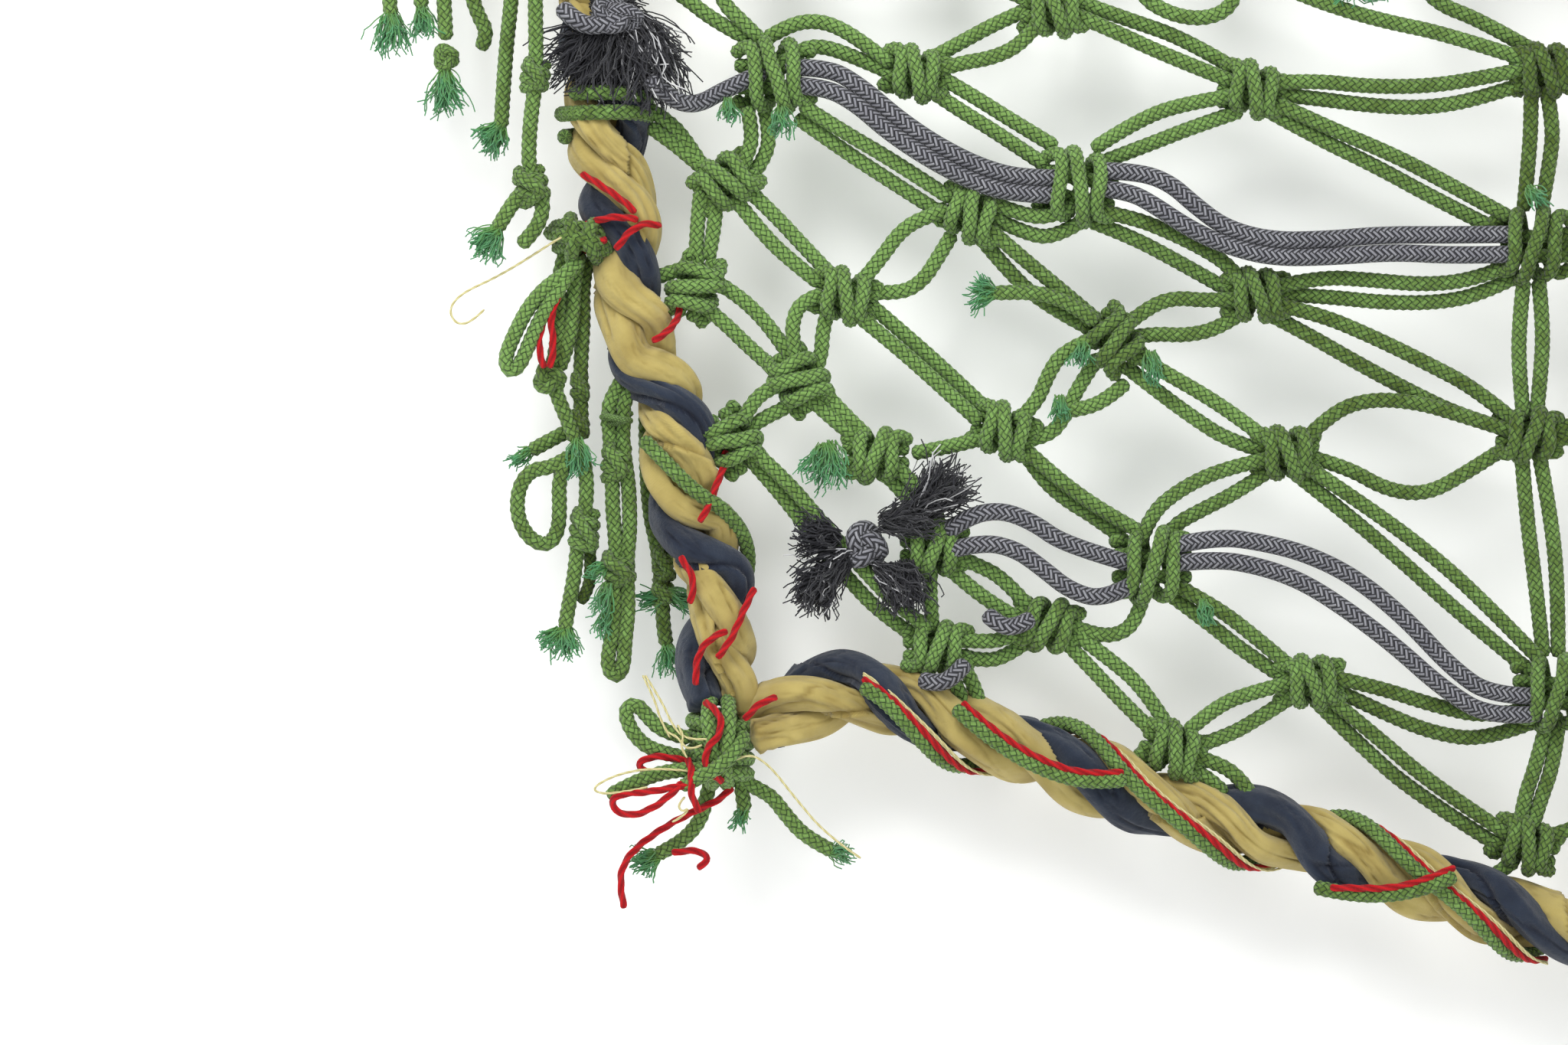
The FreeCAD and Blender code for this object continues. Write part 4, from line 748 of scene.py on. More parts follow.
net_cords = {
    "cords_top": [
        flat(0.0, (-0.372, -0.026), (-0.366, -0.05), (-0.357, -0.078)),
        flat(0.0, (-0.334, -0.026), (-0.338, -0.05), (-0.346, -0.078)),
        flat(0.0, (-0.238, -0.026), (-0.23, -0.048), (-0.221, -0.07)),
        flat(0.0, (-0.192, -0.026), (-0.201, -0.047), (-0.208, -0.07)),
        flat(0.0, (-0.122, -0.026), (-0.114, -0.075), (-0.107, -0.138)),
        flat(0.0, (-0.076, -0.026), (-0.084, -0.075), (-0.093, -0.138)),
        flat(0.0, (-0.018, -0.026), (-0.012, -0.05), (0.0, -0.074)),
        flat(0.0, (0.028, -0.026), (0.022, -0.05), (0.011, -0.074)),
        flat(0.0, (0.178, -0.026), (0.185, -0.048), (0.194, -0.07)),
        flat(0.0, (0.222, -0.026), (0.216, -0.048), (0.207, -0.07)),
        flat(0.0, (-0.332, -0.09), (-0.3, -0.1), (-0.265, -0.098), (-0.232, -0.086)),
        flat(0.0, (-0.205, -0.092), (-0.175, -0.112), (-0.145, -0.13), (-0.118, -0.141)),
        flat(0.0, (0.218, -0.084), (0.27, -0.077), (0.33, -0.072), (0.385, -0.068), (0.432, -0.066)),
        flat(-0.009, (-0.01, -0.095), (-0.028, -0.115), (-0.03, -0.138), (-0.005, -0.153), (0.022, -0.157),
             (0.044, -0.148), (0.05, -0.125), (0.022, -0.098)),
        flat(0.004, (-0.452, -0.108), (-0.425, -0.122), (-0.4, -0.138), (-0.378, -0.156), (-0.348, -0.172)),
        flat(-0.004, (-0.362, -0.1), (-0.373, -0.12), (-0.371, -0.142), (-0.352, -0.16), (-0.338, -0.174)),
    ],
    "cords_a": [
        flat(-0.003, (-0.335, -0.172), (-0.318, -0.162), (-0.3, -0.157), (-0.28, -0.16), (-0.255, -0.175),
             (-0.232, -0.193)),
        flat(0.004, (-0.336, -0.205), (-0.322, -0.192), (-0.305, -0.179), (-0.288, -0.177), (-0.262, -0.186),
             (-0.228, -0.201)),
        flat(-0.004, (-0.35, -0.228), (-0.345, -0.25), (-0.35, -0.268), (-0.357, -0.282)),
        flat(0.004, (-0.336, -0.228), (-0.331, -0.25), (-0.336, -0.27), (-0.348, -0.286)),
        flat(-0.005, (-0.306, -0.226), (-0.27, -0.249), (-0.23, -0.272), (-0.183, -0.303)),
        flat(0.005, (-0.31, -0.235), (-0.272, -0.262), (-0.232, -0.288), (-0.188, -0.316)),
        flat(0.0, (-0.432, -0.228), (-0.415, -0.238), (-0.4, -0.254), (-0.385, -0.278)),
        flat(0.0, (-0.43, -0.243), (-0.41, -0.257), (-0.395, -0.27), (-0.378, -0.284)),
        flat(0.0, (-0.362, -0.3), (-0.338, -0.33), (-0.318, -0.35), (-0.29, -0.372)),
        flat(0.0, (-0.35, -0.294), (-0.325, -0.318), (-0.305, -0.34), (-0.28, -0.366)),
        flat(0.0, (-0.388, -0.296), (-0.391, -0.322), (-0.392, -0.352)),
        flat(0.0, (-0.375, -0.3), (-0.376, -0.325), (-0.382, -0.352)),
        flat(0.0, (-0.382, -0.366), (-0.36, -0.379), (-0.339, -0.398), (-0.322, -0.42), (-0.312, -0.436)),
        flat(0.0, (-0.39, -0.386), (-0.37, -0.402), (-0.348, -0.424), (-0.325, -0.444)),
        flat(0.0, (-0.404, -0.36), (-0.42, -0.364), (-0.436, -0.372)),
    ],
    "cords_b": [
        flat(0.0, (-0.203, -0.212), (-0.178, -0.229), (-0.145, -0.249), (-0.105, -0.276)),
        flat(0.0, (-0.192, -0.203), (-0.166, -0.218), (-0.133, -0.239), (-0.098, -0.26)),
        flat(-0.005, (-0.258, -0.372), (-0.24, -0.35), (-0.226, -0.33), (-0.208, -0.318), (-0.186, -0.312)),
        flat(0.005, (-0.252, -0.378), (-0.226, -0.38), (-0.207, -0.37), (-0.194, -0.35), (-0.182, -0.33)),
        flat(-0.004, (-0.288, -0.38), (-0.306, -0.386), (-0.313, -0.402), (-0.313, -0.418), (-0.309, -0.438)),
        flat(0.004, (-0.284, -0.392), (-0.289, -0.412), (-0.289, -0.43), (-0.296, -0.448)),
        flat(-0.005, (-0.262, -0.396), (-0.232, -0.42), (-0.198, -0.45), (-0.16, -0.485)),
        flat(0.005, (-0.25, -0.388), (-0.222, -0.412), (-0.188, -0.442), (-0.15, -0.478)),
        flat(-0.004, (-0.15, -0.306), (-0.125, -0.316), (-0.102, -0.318), (-0.084, -0.308)),
        flat(0.004, (-0.148, -0.318), (-0.122, -0.331), (-0.098, -0.334), (-0.076, -0.32)),
        flat(-0.005, (-0.154, -0.326), (-0.128, -0.349), (-0.1, -0.372), (-0.062, -0.404)),
        flat(0.005, (-0.164, -0.328), (-0.138, -0.36), (-0.108, -0.388), (-0.07, -0.408)),
        flat(-0.004, (-0.318, -0.452), (-0.334, -0.458), (-0.347, -0.47), (-0.356, -0.488)),
        flat(0.004, (-0.308, -0.464), (-0.32, -0.474), (-0.335, -0.48), (-0.352, -0.492)),
        flat(0.0, (-0.3, -0.464), (-0.281, -0.482), (-0.256, -0.502)),
        flat(0.0, (-0.294, -0.452), (-0.276, -0.474), (-0.25, -0.498)),
        flat(0.006, (-0.352, -0.51), (-0.325, -0.54), (-0.298, -0.575), (-0.27, -0.61), (-0.24, -0.642),
             (-0.208, -0.663)),
        flat(-0.006, (-0.345, -0.508), (-0.318, -0.532), (-0.288, -0.568), (-0.258, -0.602), (-0.23, -0.632),
             (-0.2, -0.655)),
        flat(0.0, (-0.372, -0.508), (-0.385, -0.514), (-0.396, -0.524)),
    ],
    "cords_c": [
        flat(-0.005, (-0.066, -0.312), (-0.035, -0.318), (-0.005, -0.33), (0.025, -0.345), (0.044, -0.358),
             (0.056, -0.374)),
        flat(0.005, (-0.07, -0.32), (-0.038, -0.332), (0.0, -0.352), (0.046, -0.378)),
        flat(0.0, (-0.152, -0.496), (-0.178, -0.504), (-0.215, -0.51)),
        flat(0.0, (-0.24, -0.524), (-0.22, -0.545), (-0.206, -0.562), (-0.2, -0.582)),
        flat(-0.006, (-0.23, -0.52), (-0.208, -0.54), (-0.194, -0.56), (-0.192, -0.578)),
        flat(-0.005, (-0.132, -0.486), (-0.114, -0.47), (-0.105, -0.446), (-0.092, -0.426), (-0.066, -0.416)),
        flat(0.005, (-0.126, -0.5), (-0.104, -0.497), (-0.09, -0.48), (-0.08, -0.456), (-0.062, -0.43)),
        flat(0.0, (-0.04, -0.452), (-0.056, -0.466), (-0.075, -0.474), (-0.092, -0.476)),
        flat(0.008, (-0.128, -0.502), (-0.112, -0.528), (-0.09, -0.548), (-0.066, -0.562), (-0.042, -0.58)),
        flat(-0.004, (-0.122, -0.508), (-0.1, -0.528), (-0.078, -0.545), (-0.055, -0.56), (-0.03, -0.574)),
        flat(-0.014, (-0.066, -0.404), (-0.084, -0.39), (-0.106, -0.381), (-0.128, -0.379), (-0.15, -0.38)),
        flat(0.0, (-0.188, -0.59), (-0.165, -0.6), (-0.14, -0.612), (-0.118, -0.638)),
        flat(0.0, (-0.19, -0.6), (-0.17, -0.618), (-0.145, -0.636), (-0.12, -0.65)),
        flat(0.0, (-0.2, -0.6), (-0.202, -0.628), (-0.198, -0.656)),
        flat(-0.004, (-0.088, -0.15), (-0.05, -0.166), (-0.008, -0.186), (0.046, -0.207)),
        flat(0.004, (-0.082, -0.14), (-0.04, -0.155), (0.01, -0.172), (0.054, -0.199)),
        flat(-0.004, (-0.112, -0.158), (-0.125, -0.176), (-0.15, -0.188), (-0.178, -0.192), (-0.202, -0.2)),
        flat(0.004, (-0.118, -0.146), (-0.146, -0.158), (-0.175, -0.174), (-0.205, -0.19)),
    ],
    "cords_d": [
        flat(-0.004, (0.05, -0.218), (0.01, -0.224), (-0.03, -0.237), (-0.068, -0.262)),
        flat(0.004, (0.054, -0.23), (0.015, -0.243), (-0.02, -0.257), (-0.06, -0.272)),
        flat(-0.004, (0.076, -0.208), (0.112, -0.206), (0.155, -0.211), (0.205, -0.211), (0.25, -0.204),
             (0.288, -0.196)),
        flat(0.004, (0.078, -0.216), (0.115, -0.22), (0.16, -0.226), (0.205, -0.228), (0.25, -0.22), (0.29, -0.206)),
        flat(-0.004, (0.08, -0.224), (0.125, -0.245), (0.18, -0.268), (0.225, -0.292), (0.272, -0.318)),
        flat(0.004, (0.072, -0.228), (0.115, -0.252), (0.165, -0.276), (0.212, -0.302), (0.268, -0.33)),
        flat(-0.004, (0.052, -0.384), (0.025, -0.386), (0.0, -0.383), (-0.022, -0.39), (-0.044, -0.408)),
        flat(0.004, (0.056, -0.394), (0.036, -0.408), (0.008, -0.414), (-0.018, -0.412), (-0.042, -0.416)),
        flat(-0.004, (0.082, -0.374), (0.118, -0.366), (0.16, -0.369), (0.205, -0.373), (0.245, -0.368),
             (0.274, -0.356)),
        flat(0.004, (0.084, -0.38), (0.125, -0.382), (0.17, -0.387), (0.215, -0.387), (0.25, -0.38), (0.278, -0.366)),
        flat(-0.004, (0.078, -0.388), (0.115, -0.396), (0.16, -0.415), (0.205, -0.437), (0.245, -0.458),
             (0.276, -0.484)),
        flat(0.004, (0.072, -0.394), (0.105, -0.411), (0.15, -0.437), (0.195, -0.461), (0.235, -0.48),
             (0.276, -0.492)),
        flat(-0.004, (-0.036, -0.428), (-0.01, -0.444), (0.022, -0.462), (0.052, -0.482), (0.078, -0.502)),
        flat(0.004, (-0.042, -0.438), (-0.014, -0.46), (0.016, -0.482), (0.044, -0.5), (0.078, -0.51)),
        flat(-0.004, (0.102, -0.502), (0.125, -0.478), (0.155, -0.466), (0.195, -0.468), (0.235, -0.48),
             (0.276, -0.493)),
        flat(0.004, (0.106, -0.512), (0.14, -0.521), (0.172, -0.54), (0.205, -0.544), (0.238, -0.526), (0.278, -0.5)),
        flat(-0.004, (0.078, -0.514), (0.04, -0.522), (0.005, -0.538), (-0.022, -0.56), (-0.03, -0.585)),
        flat(0.004, (0.08, -0.522), (0.05, -0.542), (0.022, -0.556), (-0.004, -0.57), (-0.014, -0.588)),
        flat(-0.004, (0.102, -0.518), (0.15, -0.55), (0.2, -0.586), (0.248, -0.628), (0.298, -0.68)),
        flat(0.004, (0.092, -0.522), (0.138, -0.558), (0.185, -0.598), (0.232, -0.641), (0.292, -0.69)),
        flat(-0.004, (0.0, -0.618), (0.03, -0.634), (0.06, -0.656), (0.1, -0.69)),
        flat(0.004, (-0.004, -0.626), (0.026, -0.648), (0.058, -0.674), (0.096, -0.698)),
        flat(0.0, (-0.026, -0.624), (-0.032, -0.648), (-0.05, -0.66), (-0.074, -0.656), (-0.092, -0.648)),
        flat(0.0, (-0.094, -0.66), (-0.068, -0.687), (-0.041, -0.716), (-0.014, -0.742)),
        flat(0.0, (-0.084, -0.656), (-0.054, -0.678), (-0.026, -0.702), (-0.006, -0.734)),
        flat(-0.005, (-0.118, -0.65), (-0.138, -0.662), (-0.16, -0.664), (-0.184, -0.662)),
        flat(0.005, (-0.116, -0.66), (-0.138, -0.677), (-0.16, -0.68), (-0.184, -0.674)),
        flat(0.0, (-0.188, -0.684), (-0.178, -0.7), (-0.172, -0.718)),
        flat(0.0, (-0.176, -0.68), (-0.164, -0.698), (-0.158, -0.722)),
    ],
    "cords_e_f": [
        flat(-0.004, (0.098, -0.696), (0.065, -0.704), (0.032, -0.716), (0.008, -0.738)),
        flat(0.004, (0.1, -0.706), (0.072, -0.724), (0.042, -0.742), (0.008, -0.752)),
        flat(-0.004, (0.124, -0.692), (0.165, -0.701), (0.21, -0.716), (0.255, -0.726), (0.292, -0.718)),
        flat(0.004, (0.124, -0.7), (0.165, -0.72), (0.21, -0.739), (0.255, -0.745), (0.296, -0.728)),
        flat(-0.004, (0.12, -0.706), (0.162, -0.74), (0.208, -0.78), (0.272, -0.822)),
        flat(0.004, (0.112, -0.71), (0.15, -0.748), (0.198, -0.79), (0.266, -0.832)),
        flat(-0.004, (0.022, -0.094), (0.05, -0.112), (0.085, -0.129), (0.125, -0.145), (0.17, -0.158),
             (0.22, -0.168), (0.288, -0.19)),
        flat(0.004, (0.194, -0.092), (0.196, -0.12), (0.214, -0.143), (0.25, -0.156), (0.298, -0.184)),
        flat(0.0, (0.302, -0.21), (0.308, -0.24), (0.306, -0.27), (0.298, -0.312)),
        flat(0.0, (0.29, -0.21), (0.29, -0.24), (0.288, -0.27), (0.284, -0.312)),
        flat(0.0, (0.296, -0.368), (0.3, -0.405), (0.298, -0.445), (0.294, -0.482)),
        flat(0.0, (0.284, -0.368), (0.28, -0.405), (0.28, -0.445), (0.284, -0.482)),
        flat(0.0, (0.296, -0.508), (0.306, -0.56), (0.312, -0.62), (0.312, -0.676)),
        flat(0.0, (0.282, -0.508), (0.286, -0.56), (0.294, -0.62), (0.3, -0.676)),
        flat(0.0, (0.312, -0.733), (0.308, -0.765), (0.298, -0.792), (0.29, -0.818)),
        flat(0.0, (0.302, -0.733), (0.294, -0.765), (0.284, -0.792), (0.28, -0.818)),
        flat(0.0, (0.316, -0.196), (0.35, -0.19), (0.39, -0.182), (0.43, -0.168)),
        flat(0.0, (0.31, -0.335), (0.35, -0.325), (0.39, -0.31), (0.432, -0.288)),
        flat(0.0, (0.312, -0.345), (0.352, -0.338), (0.392, -0.325), (0.43, -0.305)),
        flat(0.0, (0.304, -0.492), (0.345, -0.482), (0.385, -0.466), (0.425, -0.445)),
        flat(0.0, (0.304, -0.5), (0.345, -0.495), (0.388, -0.48), (0.425, -0.46)),
        flat(0.0, (0.33, -0.7), (0.362, -0.69), (0.398, -0.672), (0.432, -0.65)),
        flat(0.0, (0.33, -0.712), (0.362, -0.704), (0.398, -0.688), (0.434, -0.666)),
        flat(0.0, (0.3, -0.824), (0.34, -0.812), (0.385, -0.792), (0.434, -0.768)),
        flat(0.0, (0.006, -0.764), (0.024, -0.772), (0.04, -0.788)),
        flat(0.0, (0.01, -0.756), (0.032, -0.762), (0.052, -0.774), (0.062, -0.79)),
        flat(0.0, (0.278, -0.842), (0.266, -0.85), (0.256, -0.858)),
        flat(0.0, (-0.03, -0.766), (-0.022, -0.772), (-0.018, -0.784)),
    ],
}
for name, routes in net_cords.items():
    settle(skin("net_" + name, [braid(route, CORD, cord_tone(route)) for route in routes], green_braid),
           "net", "green_cord", name)

# ---------------------------------------------------------------- square knots
# Two working cords tied round two core cords. They show in front as three tight bars:
# one upright at each end, and between them one that slants over both.
KNOT_CORES = [
    [(-0.027, 0.000, 0.006), (-0.012, 0.003, 0.006), (0.000, 0.003, 0.004), (0.012, 0.003, 0.006), (0.027, 0.000, 0.006)],
    [(-0.027, 0.000, -0.006), (-0.010, 0.003, -0.006), (0.003, 0.003, -0.006), (0.013, 0.003, -0.006), (0.027, 0.000, -0.006)],
]
KNOT_WORKERS = [
    [(-0.028, 0.000, 0.012), (-0.020, -0.005, 0.017), (-0.014, -0.013, 0.013), (-0.013, -0.016, 0.000),
     (-0.013, -0.013, -0.013), (-0.008, -0.002, -0.018), (-0.002, 0.011, -0.013), (0.003, 0.013, 0.004), (0.007, 0.006, 0.017),
     (0.012, -0.009, 0.017), (0.014, -0.016, 0.004), (0.013, -0.015, -0.008), (0.017, -0.006, -0.016), (0.028, 0.000, -0.012)],
    [(-0.028, 0.002, -0.012), (-0.020, 0.006, -0.017), (-0.014, 0.012, -0.010), (-0.012, 0.012, 0.008), (-0.009, 0.003, 0.019),
     (-0.006, -0.012, 0.018), (-0.003, -0.019, 0.007), (0.003, -0.019, -0.006), (0.006, -0.013, -0.018),
     (0.010, 0.002, -0.019), (0.014, 0.012, -0.008), (0.015, 0.010, 0.010), (0.019, 0.003, 0.016), (0.028, 0.000, 0.012)],
]
SMALL_KNOT = (1.0, 1.0, 1.0)
BIG_KNOT = (1.18, 1.30, 1.50)     # along, across in depth, and in height
TIED_CORD = 0.0114                # the cord is squeezed a little where it is tied


def square_knot(size, x, z, lean, number):
    """The four cords of one knot. Every other knot is tied the other way up."""
    turned = Matrix.Rotation(math.radians(lean), 3, "Y")
    flip = -1 if number % 3 == 1 else 1
    mirror = -1 if number % 2 else 1
    made = []
    for line in KNOT_CORES + KNOT_WORKERS:
        route = []
        for k, place in enumerate(line):
            loose = noise.noise_vector(Vector((x * 60, number + k * 0.7, z * 60))) * 0.0016
            spot = Vector((place[0] * size[0] * mirror, place[1] * size[1], place[2] * size[2] * flip)) + loose
            route.append(tuple(Vector((x, 0, z)) + turned @ spot))
        made.append(braid(route, TIED_CORD, cord_tone([(x, 0, z)]) + 0.08 * (line in KNOT_WORKERS)))
    return made


small_knot, big_knot = SMALL_KNOT, BIG_KNOT
net_knots = {
    "knots_top": [
        (small_knot, -0.350, -0.088, 0), (small_knot, -0.215, -0.080, 0), (small_knot, -0.100, -0.148, 0),
        (small_knot, 0.005, -0.085, 0), (small_knot, 0.200, -0.080, 0),
    ],
    "knots_a": [
        (big_knot, -0.328, -0.202, 0), (small_knot, -0.367, -0.288, -30), (small_knot, -0.392, -0.375, -70),
    ],
    "knots_b": [
        (small_knot, -0.212, -0.200, 10), (small_knot, -0.168, -0.315, 25), (small_knot, -0.270, -0.382, 15),
        (small_knot, -0.308, -0.450, 60), (small_knot, -0.362, -0.500, 60),
    ],
    "knots_c": [
        (big_knot, -0.080, -0.293, 10), (small_knot, -0.050, -0.418, 60), (small_knot, -0.140, -0.492, 20),
        (small_knot, -0.245, -0.512, 0), (small_knot, -0.198, -0.588, 0),
    ],
    "knots_d": [
        (small_knot, 0.062, -0.213, 15), (small_knot, 0.065, -0.381, 0), (small_knot, 0.090, -0.510, 0),
        (big_knot, -0.020, -0.602, 0), (small_knot, -0.105, -0.650, 10), (small_knot, -0.195, -0.670, 0),
    ],
    "knots_e_f": [
        (small_knot, 0.110, -0.697, 0), (small_knot, -0.002, -0.752, 20), (small_knot, 0.300, -0.198, 0),
        (big_knot, 0.290, -0.340, 0), (small_knot, 0.288, -0.495, 0), (big_knot, 0.308, -0.705, 0),
        (small_knot, 0.285, -0.830, 20),
    ],
}
for name, places in net_knots.items():
    cords_tied = [cord for number, place in enumerate(places) for cord in square_knot(*place, number)]
    settle(skin("net_" + name, cords_tied, green_braid), "net", "green_cord", name)

# ---------------------------------------------------------------- grey herringbone cords
# Two lines of doubled grey cord pass through the big knots. Pale threads cross two over
# two on a nearly black ground.
GREY = 0.013             # the cords bulge a tenth beyond this between the knots


def herringbone(route, diameter=GREY * 1.1, tone=0.5):
    lay = 3.0 * diameter
    return shell(smooth_line(route), 0.0032, 16, lambda i, j, along: diameter / 2 + 0 * along, lay, tone)


# The third colour is the real black ground between the threads, and also the painted shade at each pale thread's edges.
grey_braid = braid_finish("grey_braid", (0.40, 0.40, 0.43), (0.20, 0.20, 0.23), (0.010, 0.010, 0.013), 8, 2, 3,
                          thread=0.66, depth=0.0012)
settle(skin("grey_upper", [herringbone(route) for route in [
    [(-0.43, -0.042, -0.208), (-0.41, -0.034, -0.226), (-0.39, -0.02, -0.228), (-0.368, -0.012, -0.214),
         (-0.336, -0.012, -0.2)],
    [(-0.318, -0.008, -0.196), (-0.285, -0.016, -0.196), (-0.258, -0.02, -0.212), (-0.228, -0.02, -0.238),
         (-0.196, -0.02, -0.26), (-0.16, -0.018, -0.278), (-0.125, -0.014, -0.287), (-0.092, -0.01, -0.286)],
    [(-0.318, -0.008, -0.21), (-0.288, -0.016, -0.212), (-0.262, -0.02, -0.226), (-0.235, -0.02, -0.25),
         (-0.2, -0.02, -0.273), (-0.165, -0.018, -0.291), (-0.13, -0.014, -0.3), (-0.094, -0.01, -0.3)],
    [(-0.066, -0.01, -0.28), (-0.035, -0.016, -0.281), (-0.008, -0.022, -0.29), (0.014, -0.024, -0.31),
         (0.038, -0.024, -0.328), (0.075, -0.024, -0.338), (0.12, -0.022, -0.337), (0.165, -0.02, -0.333),
         (0.215, -0.018, -0.333), (0.276, -0.01, -0.332)],
    [(-0.066, -0.01, -0.294), (-0.04, -0.016, -0.297), (-0.018, -0.022, -0.31), (0.005, -0.024, -0.326),
         (0.035, -0.024, -0.341), (0.075, -0.024, -0.352), (0.125, -0.022, -0.351), (0.175, -0.02, -0.347),
         (0.225, -0.018, -0.35), (0.278, -0.01, -0.348)],
]], grey_braid),
       "net", "grey_cord", "grey_cord_upper")
settle(skin("grey_lower", [herringbone(route) for route in [
    [(-0.188, -0.012, -0.575), (-0.172, -0.02, -0.562), (-0.145, -0.022, -0.556), (-0.118, -0.022, -0.566),
         (-0.092, -0.022, -0.585), (-0.038, -0.01, -0.6)],
    [(-0.188, -0.012, -0.59), (-0.16, -0.02, -0.582), (-0.132, -0.022, -0.588), (-0.11, -0.022, -0.604),
         (-0.088, -0.022, -0.622), (-0.06, -0.02, -0.63), (-0.034, -0.01, -0.616)],
    [(-0.006, -0.01, -0.586), (0.03, -0.02, -0.578), (0.065, -0.022, -0.582), (0.105, -0.022, -0.592),
         (0.145, -0.022, -0.612), (0.185, -0.022, -0.645), (0.222, -0.022, -0.685), (0.255, -0.018, -0.708),
         (0.296, -0.01, -0.708)],
    [(-0.004, -0.01, -0.6), (0.03, -0.02, -0.596), (0.066, -0.022, -0.602), (0.1, -0.022, -0.614),
         (0.135, -0.022, -0.636), (0.175, -0.022, -0.666), (0.215, -0.022, -0.702), (0.255, -0.018, -0.726),
         (0.296, -0.01, -0.722)],
    [(-0.21, -0.022, -0.694), (-0.196, -0.024, -0.698), (-0.182, -0.024, -0.692), (-0.172, -0.02, -0.68)],
    [(-0.118, -0.02, -0.644), (-0.132, -0.022, -0.652), (-0.146, -0.024, -0.65), (-0.156, -0.02, -0.64)],
]], grey_braid),
       "net", "grey_cord", "grey_cord_lower")

# Each grey cord is stopped by a ball knot of itself, and its black yarn frays beside it.
settle(skin("grey_stoppers", [
    herringbone(overhand((-0.255, -0.008, -0.586), 0.0105, 0.0105, 0.0090, 30)),
    herringbone(overhand((-0.456, -0.042, -0.158), 0.0140, 0.0080, 0.0060, 10), 0.011),
    herringbone([(-0.500, -0.042, -0.150), (-0.490, -0.046, -0.162), (-0.470, -0.045, -0.168), (-0.450, -0.044, -0.160)], 0.015),
], grey_braid), "net", "grey_cord", "grey_stopper_knots")
black_fibre = fibre_finish("black_fibre", (0.010, 0.010, 0.013), (0.030, 0.030, 0.036))
pale_fibre = fibre_finish("pale_fibre", (0.45, 0.45, 0.47), (0.62, 0.62, 0.62))
black_places = [
    ((-0.272, -0.014, -0.596), (-0.030, -0.004, -0.026)), ((-0.280, -0.014, -0.580), (-0.026, -0.004, 0.006)),
    ((-0.284, -0.012, -0.606), (-0.018, -0.004, -0.030)), ((-0.236, -0.018, -0.566), (0.034, -0.002, 0.004)),
    ((-0.240, -0.016, -0.606), (0.024, -0.002, -0.020)), ((-0.205, -0.018, -0.555), (0.030, -0.002, 0.022)),
    ((-0.215, -0.016, -0.560), (0.036, 0.000, 0.036)), ((-0.222, -0.016, -0.604), (0.004, 0.000, -0.034)),
    ((-0.450, -0.033, -0.170), (0.010, 0.011, -0.054)), ((-0.462, -0.033, -0.172), (-0.018, 0.011, -0.048)),
    ((-0.440, -0.033, -0.160), (0.026, 0.011, -0.040)), ((-0.476, -0.033, -0.168), (-0.030, 0.011, -0.034)),
    ((-0.430, -0.033, -0.170), (0.006, 0.011, -0.056)), ((-0.470, -0.033, -0.150), (0.030, 0.006, -0.004)),
]
settle(tufts("black_yarn", black_places, black_fibre, fibres=230, fibre=0.00065, spread=0.52, root=0.008, curl=0.017, seed=31),
       "net", "black_fray", "black_frays")
settle(tufts("pale_yarn", black_places[::2], pale_fibre, fibres=20, fibre=0.00060, spread=0.55, root=0.008, curl=0.020, seed=37),
       "net", "black_fray")

# ---------------------------------------------------------------- green tufts on the net
# Cut ends of green cord, frayed, at the knots and crossings.
settle(tufts("green_yarn", [
    ((-0.322, -0.020, -0.232), (0.000, -0.006, -0.020)), ((-0.366, -0.018, -0.224), (0.002, -0.006, -0.016)),
    ((-0.282, -0.012, -0.503), (0.002, -0.006, -0.036)), ((-0.288, -0.012, -0.505), (-0.012, -0.004, -0.026)),
    ((-0.150, -0.014, -0.380), (-0.018, -0.003, -0.008)), ((-0.150, -0.014, -0.380), (-0.014, -0.003, 0.010)),
    ((-0.022, -0.016, -0.430), (0.002, -0.006, -0.022)), ((-0.078, -0.012, -0.422), (-0.002, -0.006, -0.018)),
    ((0.132, -0.006, -0.126), (0.040, -0.004, -0.006)), ((0.150, -0.006, -0.128), (-0.020, -0.006, -0.010)),
    ((0.286, -0.018, -0.296), (0.010, -0.004, -0.012)), ((-0.096, -0.012, -0.466), (0.000, -0.004, -0.016)),
    ((0.022, -0.012, -0.632), (0.002, -0.004, -0.016)),
], green_fibre, fibres=70, seed=41), "net", "green_fray", "green_frays")

# ---------------------------------------------------------------- border rope
# Each side is three strands of soft cloth, two ochre and one navy, twisted by hand. The
# cloth is rolled, so it folds along its length and bulges where nothing pinches it.
STRAND = 0.024
TOP_LAY, SIDE_LAY, BOTTOM_LAY = 0.105, 0.130, 0.180


def rope_line(name):
    return smooth_line([(x, 0.0, z) for x, z in ROPE_LINES[name]])


TOP_LINE = [(-0.65, 0.003), (-0.56, -0.002), (-0.45, 0.002), (-0.3, -0.004), (-0.15, -0.002), (0.0, 0.0),
    (0.15, -0.003), (0.3, -0.002), (0.452, 0.002)]
LEFT_LINE = [(-0.5, -0.038), (-0.492, -0.07), (-0.483, -0.11), (-0.477, -0.145), (-0.468, -0.2), (-0.466, -0.25),
    (-0.452, -0.3), (-0.444, -0.345), (-0.447, -0.385), (-0.438, -0.425), (-0.412, -0.465), (-0.404, -0.51),
    (-0.405, -0.55), (-0.385, -0.59), (-0.372, -0.63), (-0.368, -0.675), (-0.374, -0.71)]
BOTTOM_LINE = [(-0.343, -0.737), (-0.322, -0.72), (-0.295, -0.704), (-0.25, -0.702), (-0.205, -0.722),
    (-0.15, -0.742), (-0.1, -0.76), (-0.05, -0.782), (0.0, -0.8), (0.06, -0.814), (0.11, -0.83), (0.16, -0.848),
    (0.24, -0.873), (0.32, -0.9), (0.39, -0.924), (0.428, -0.938)]
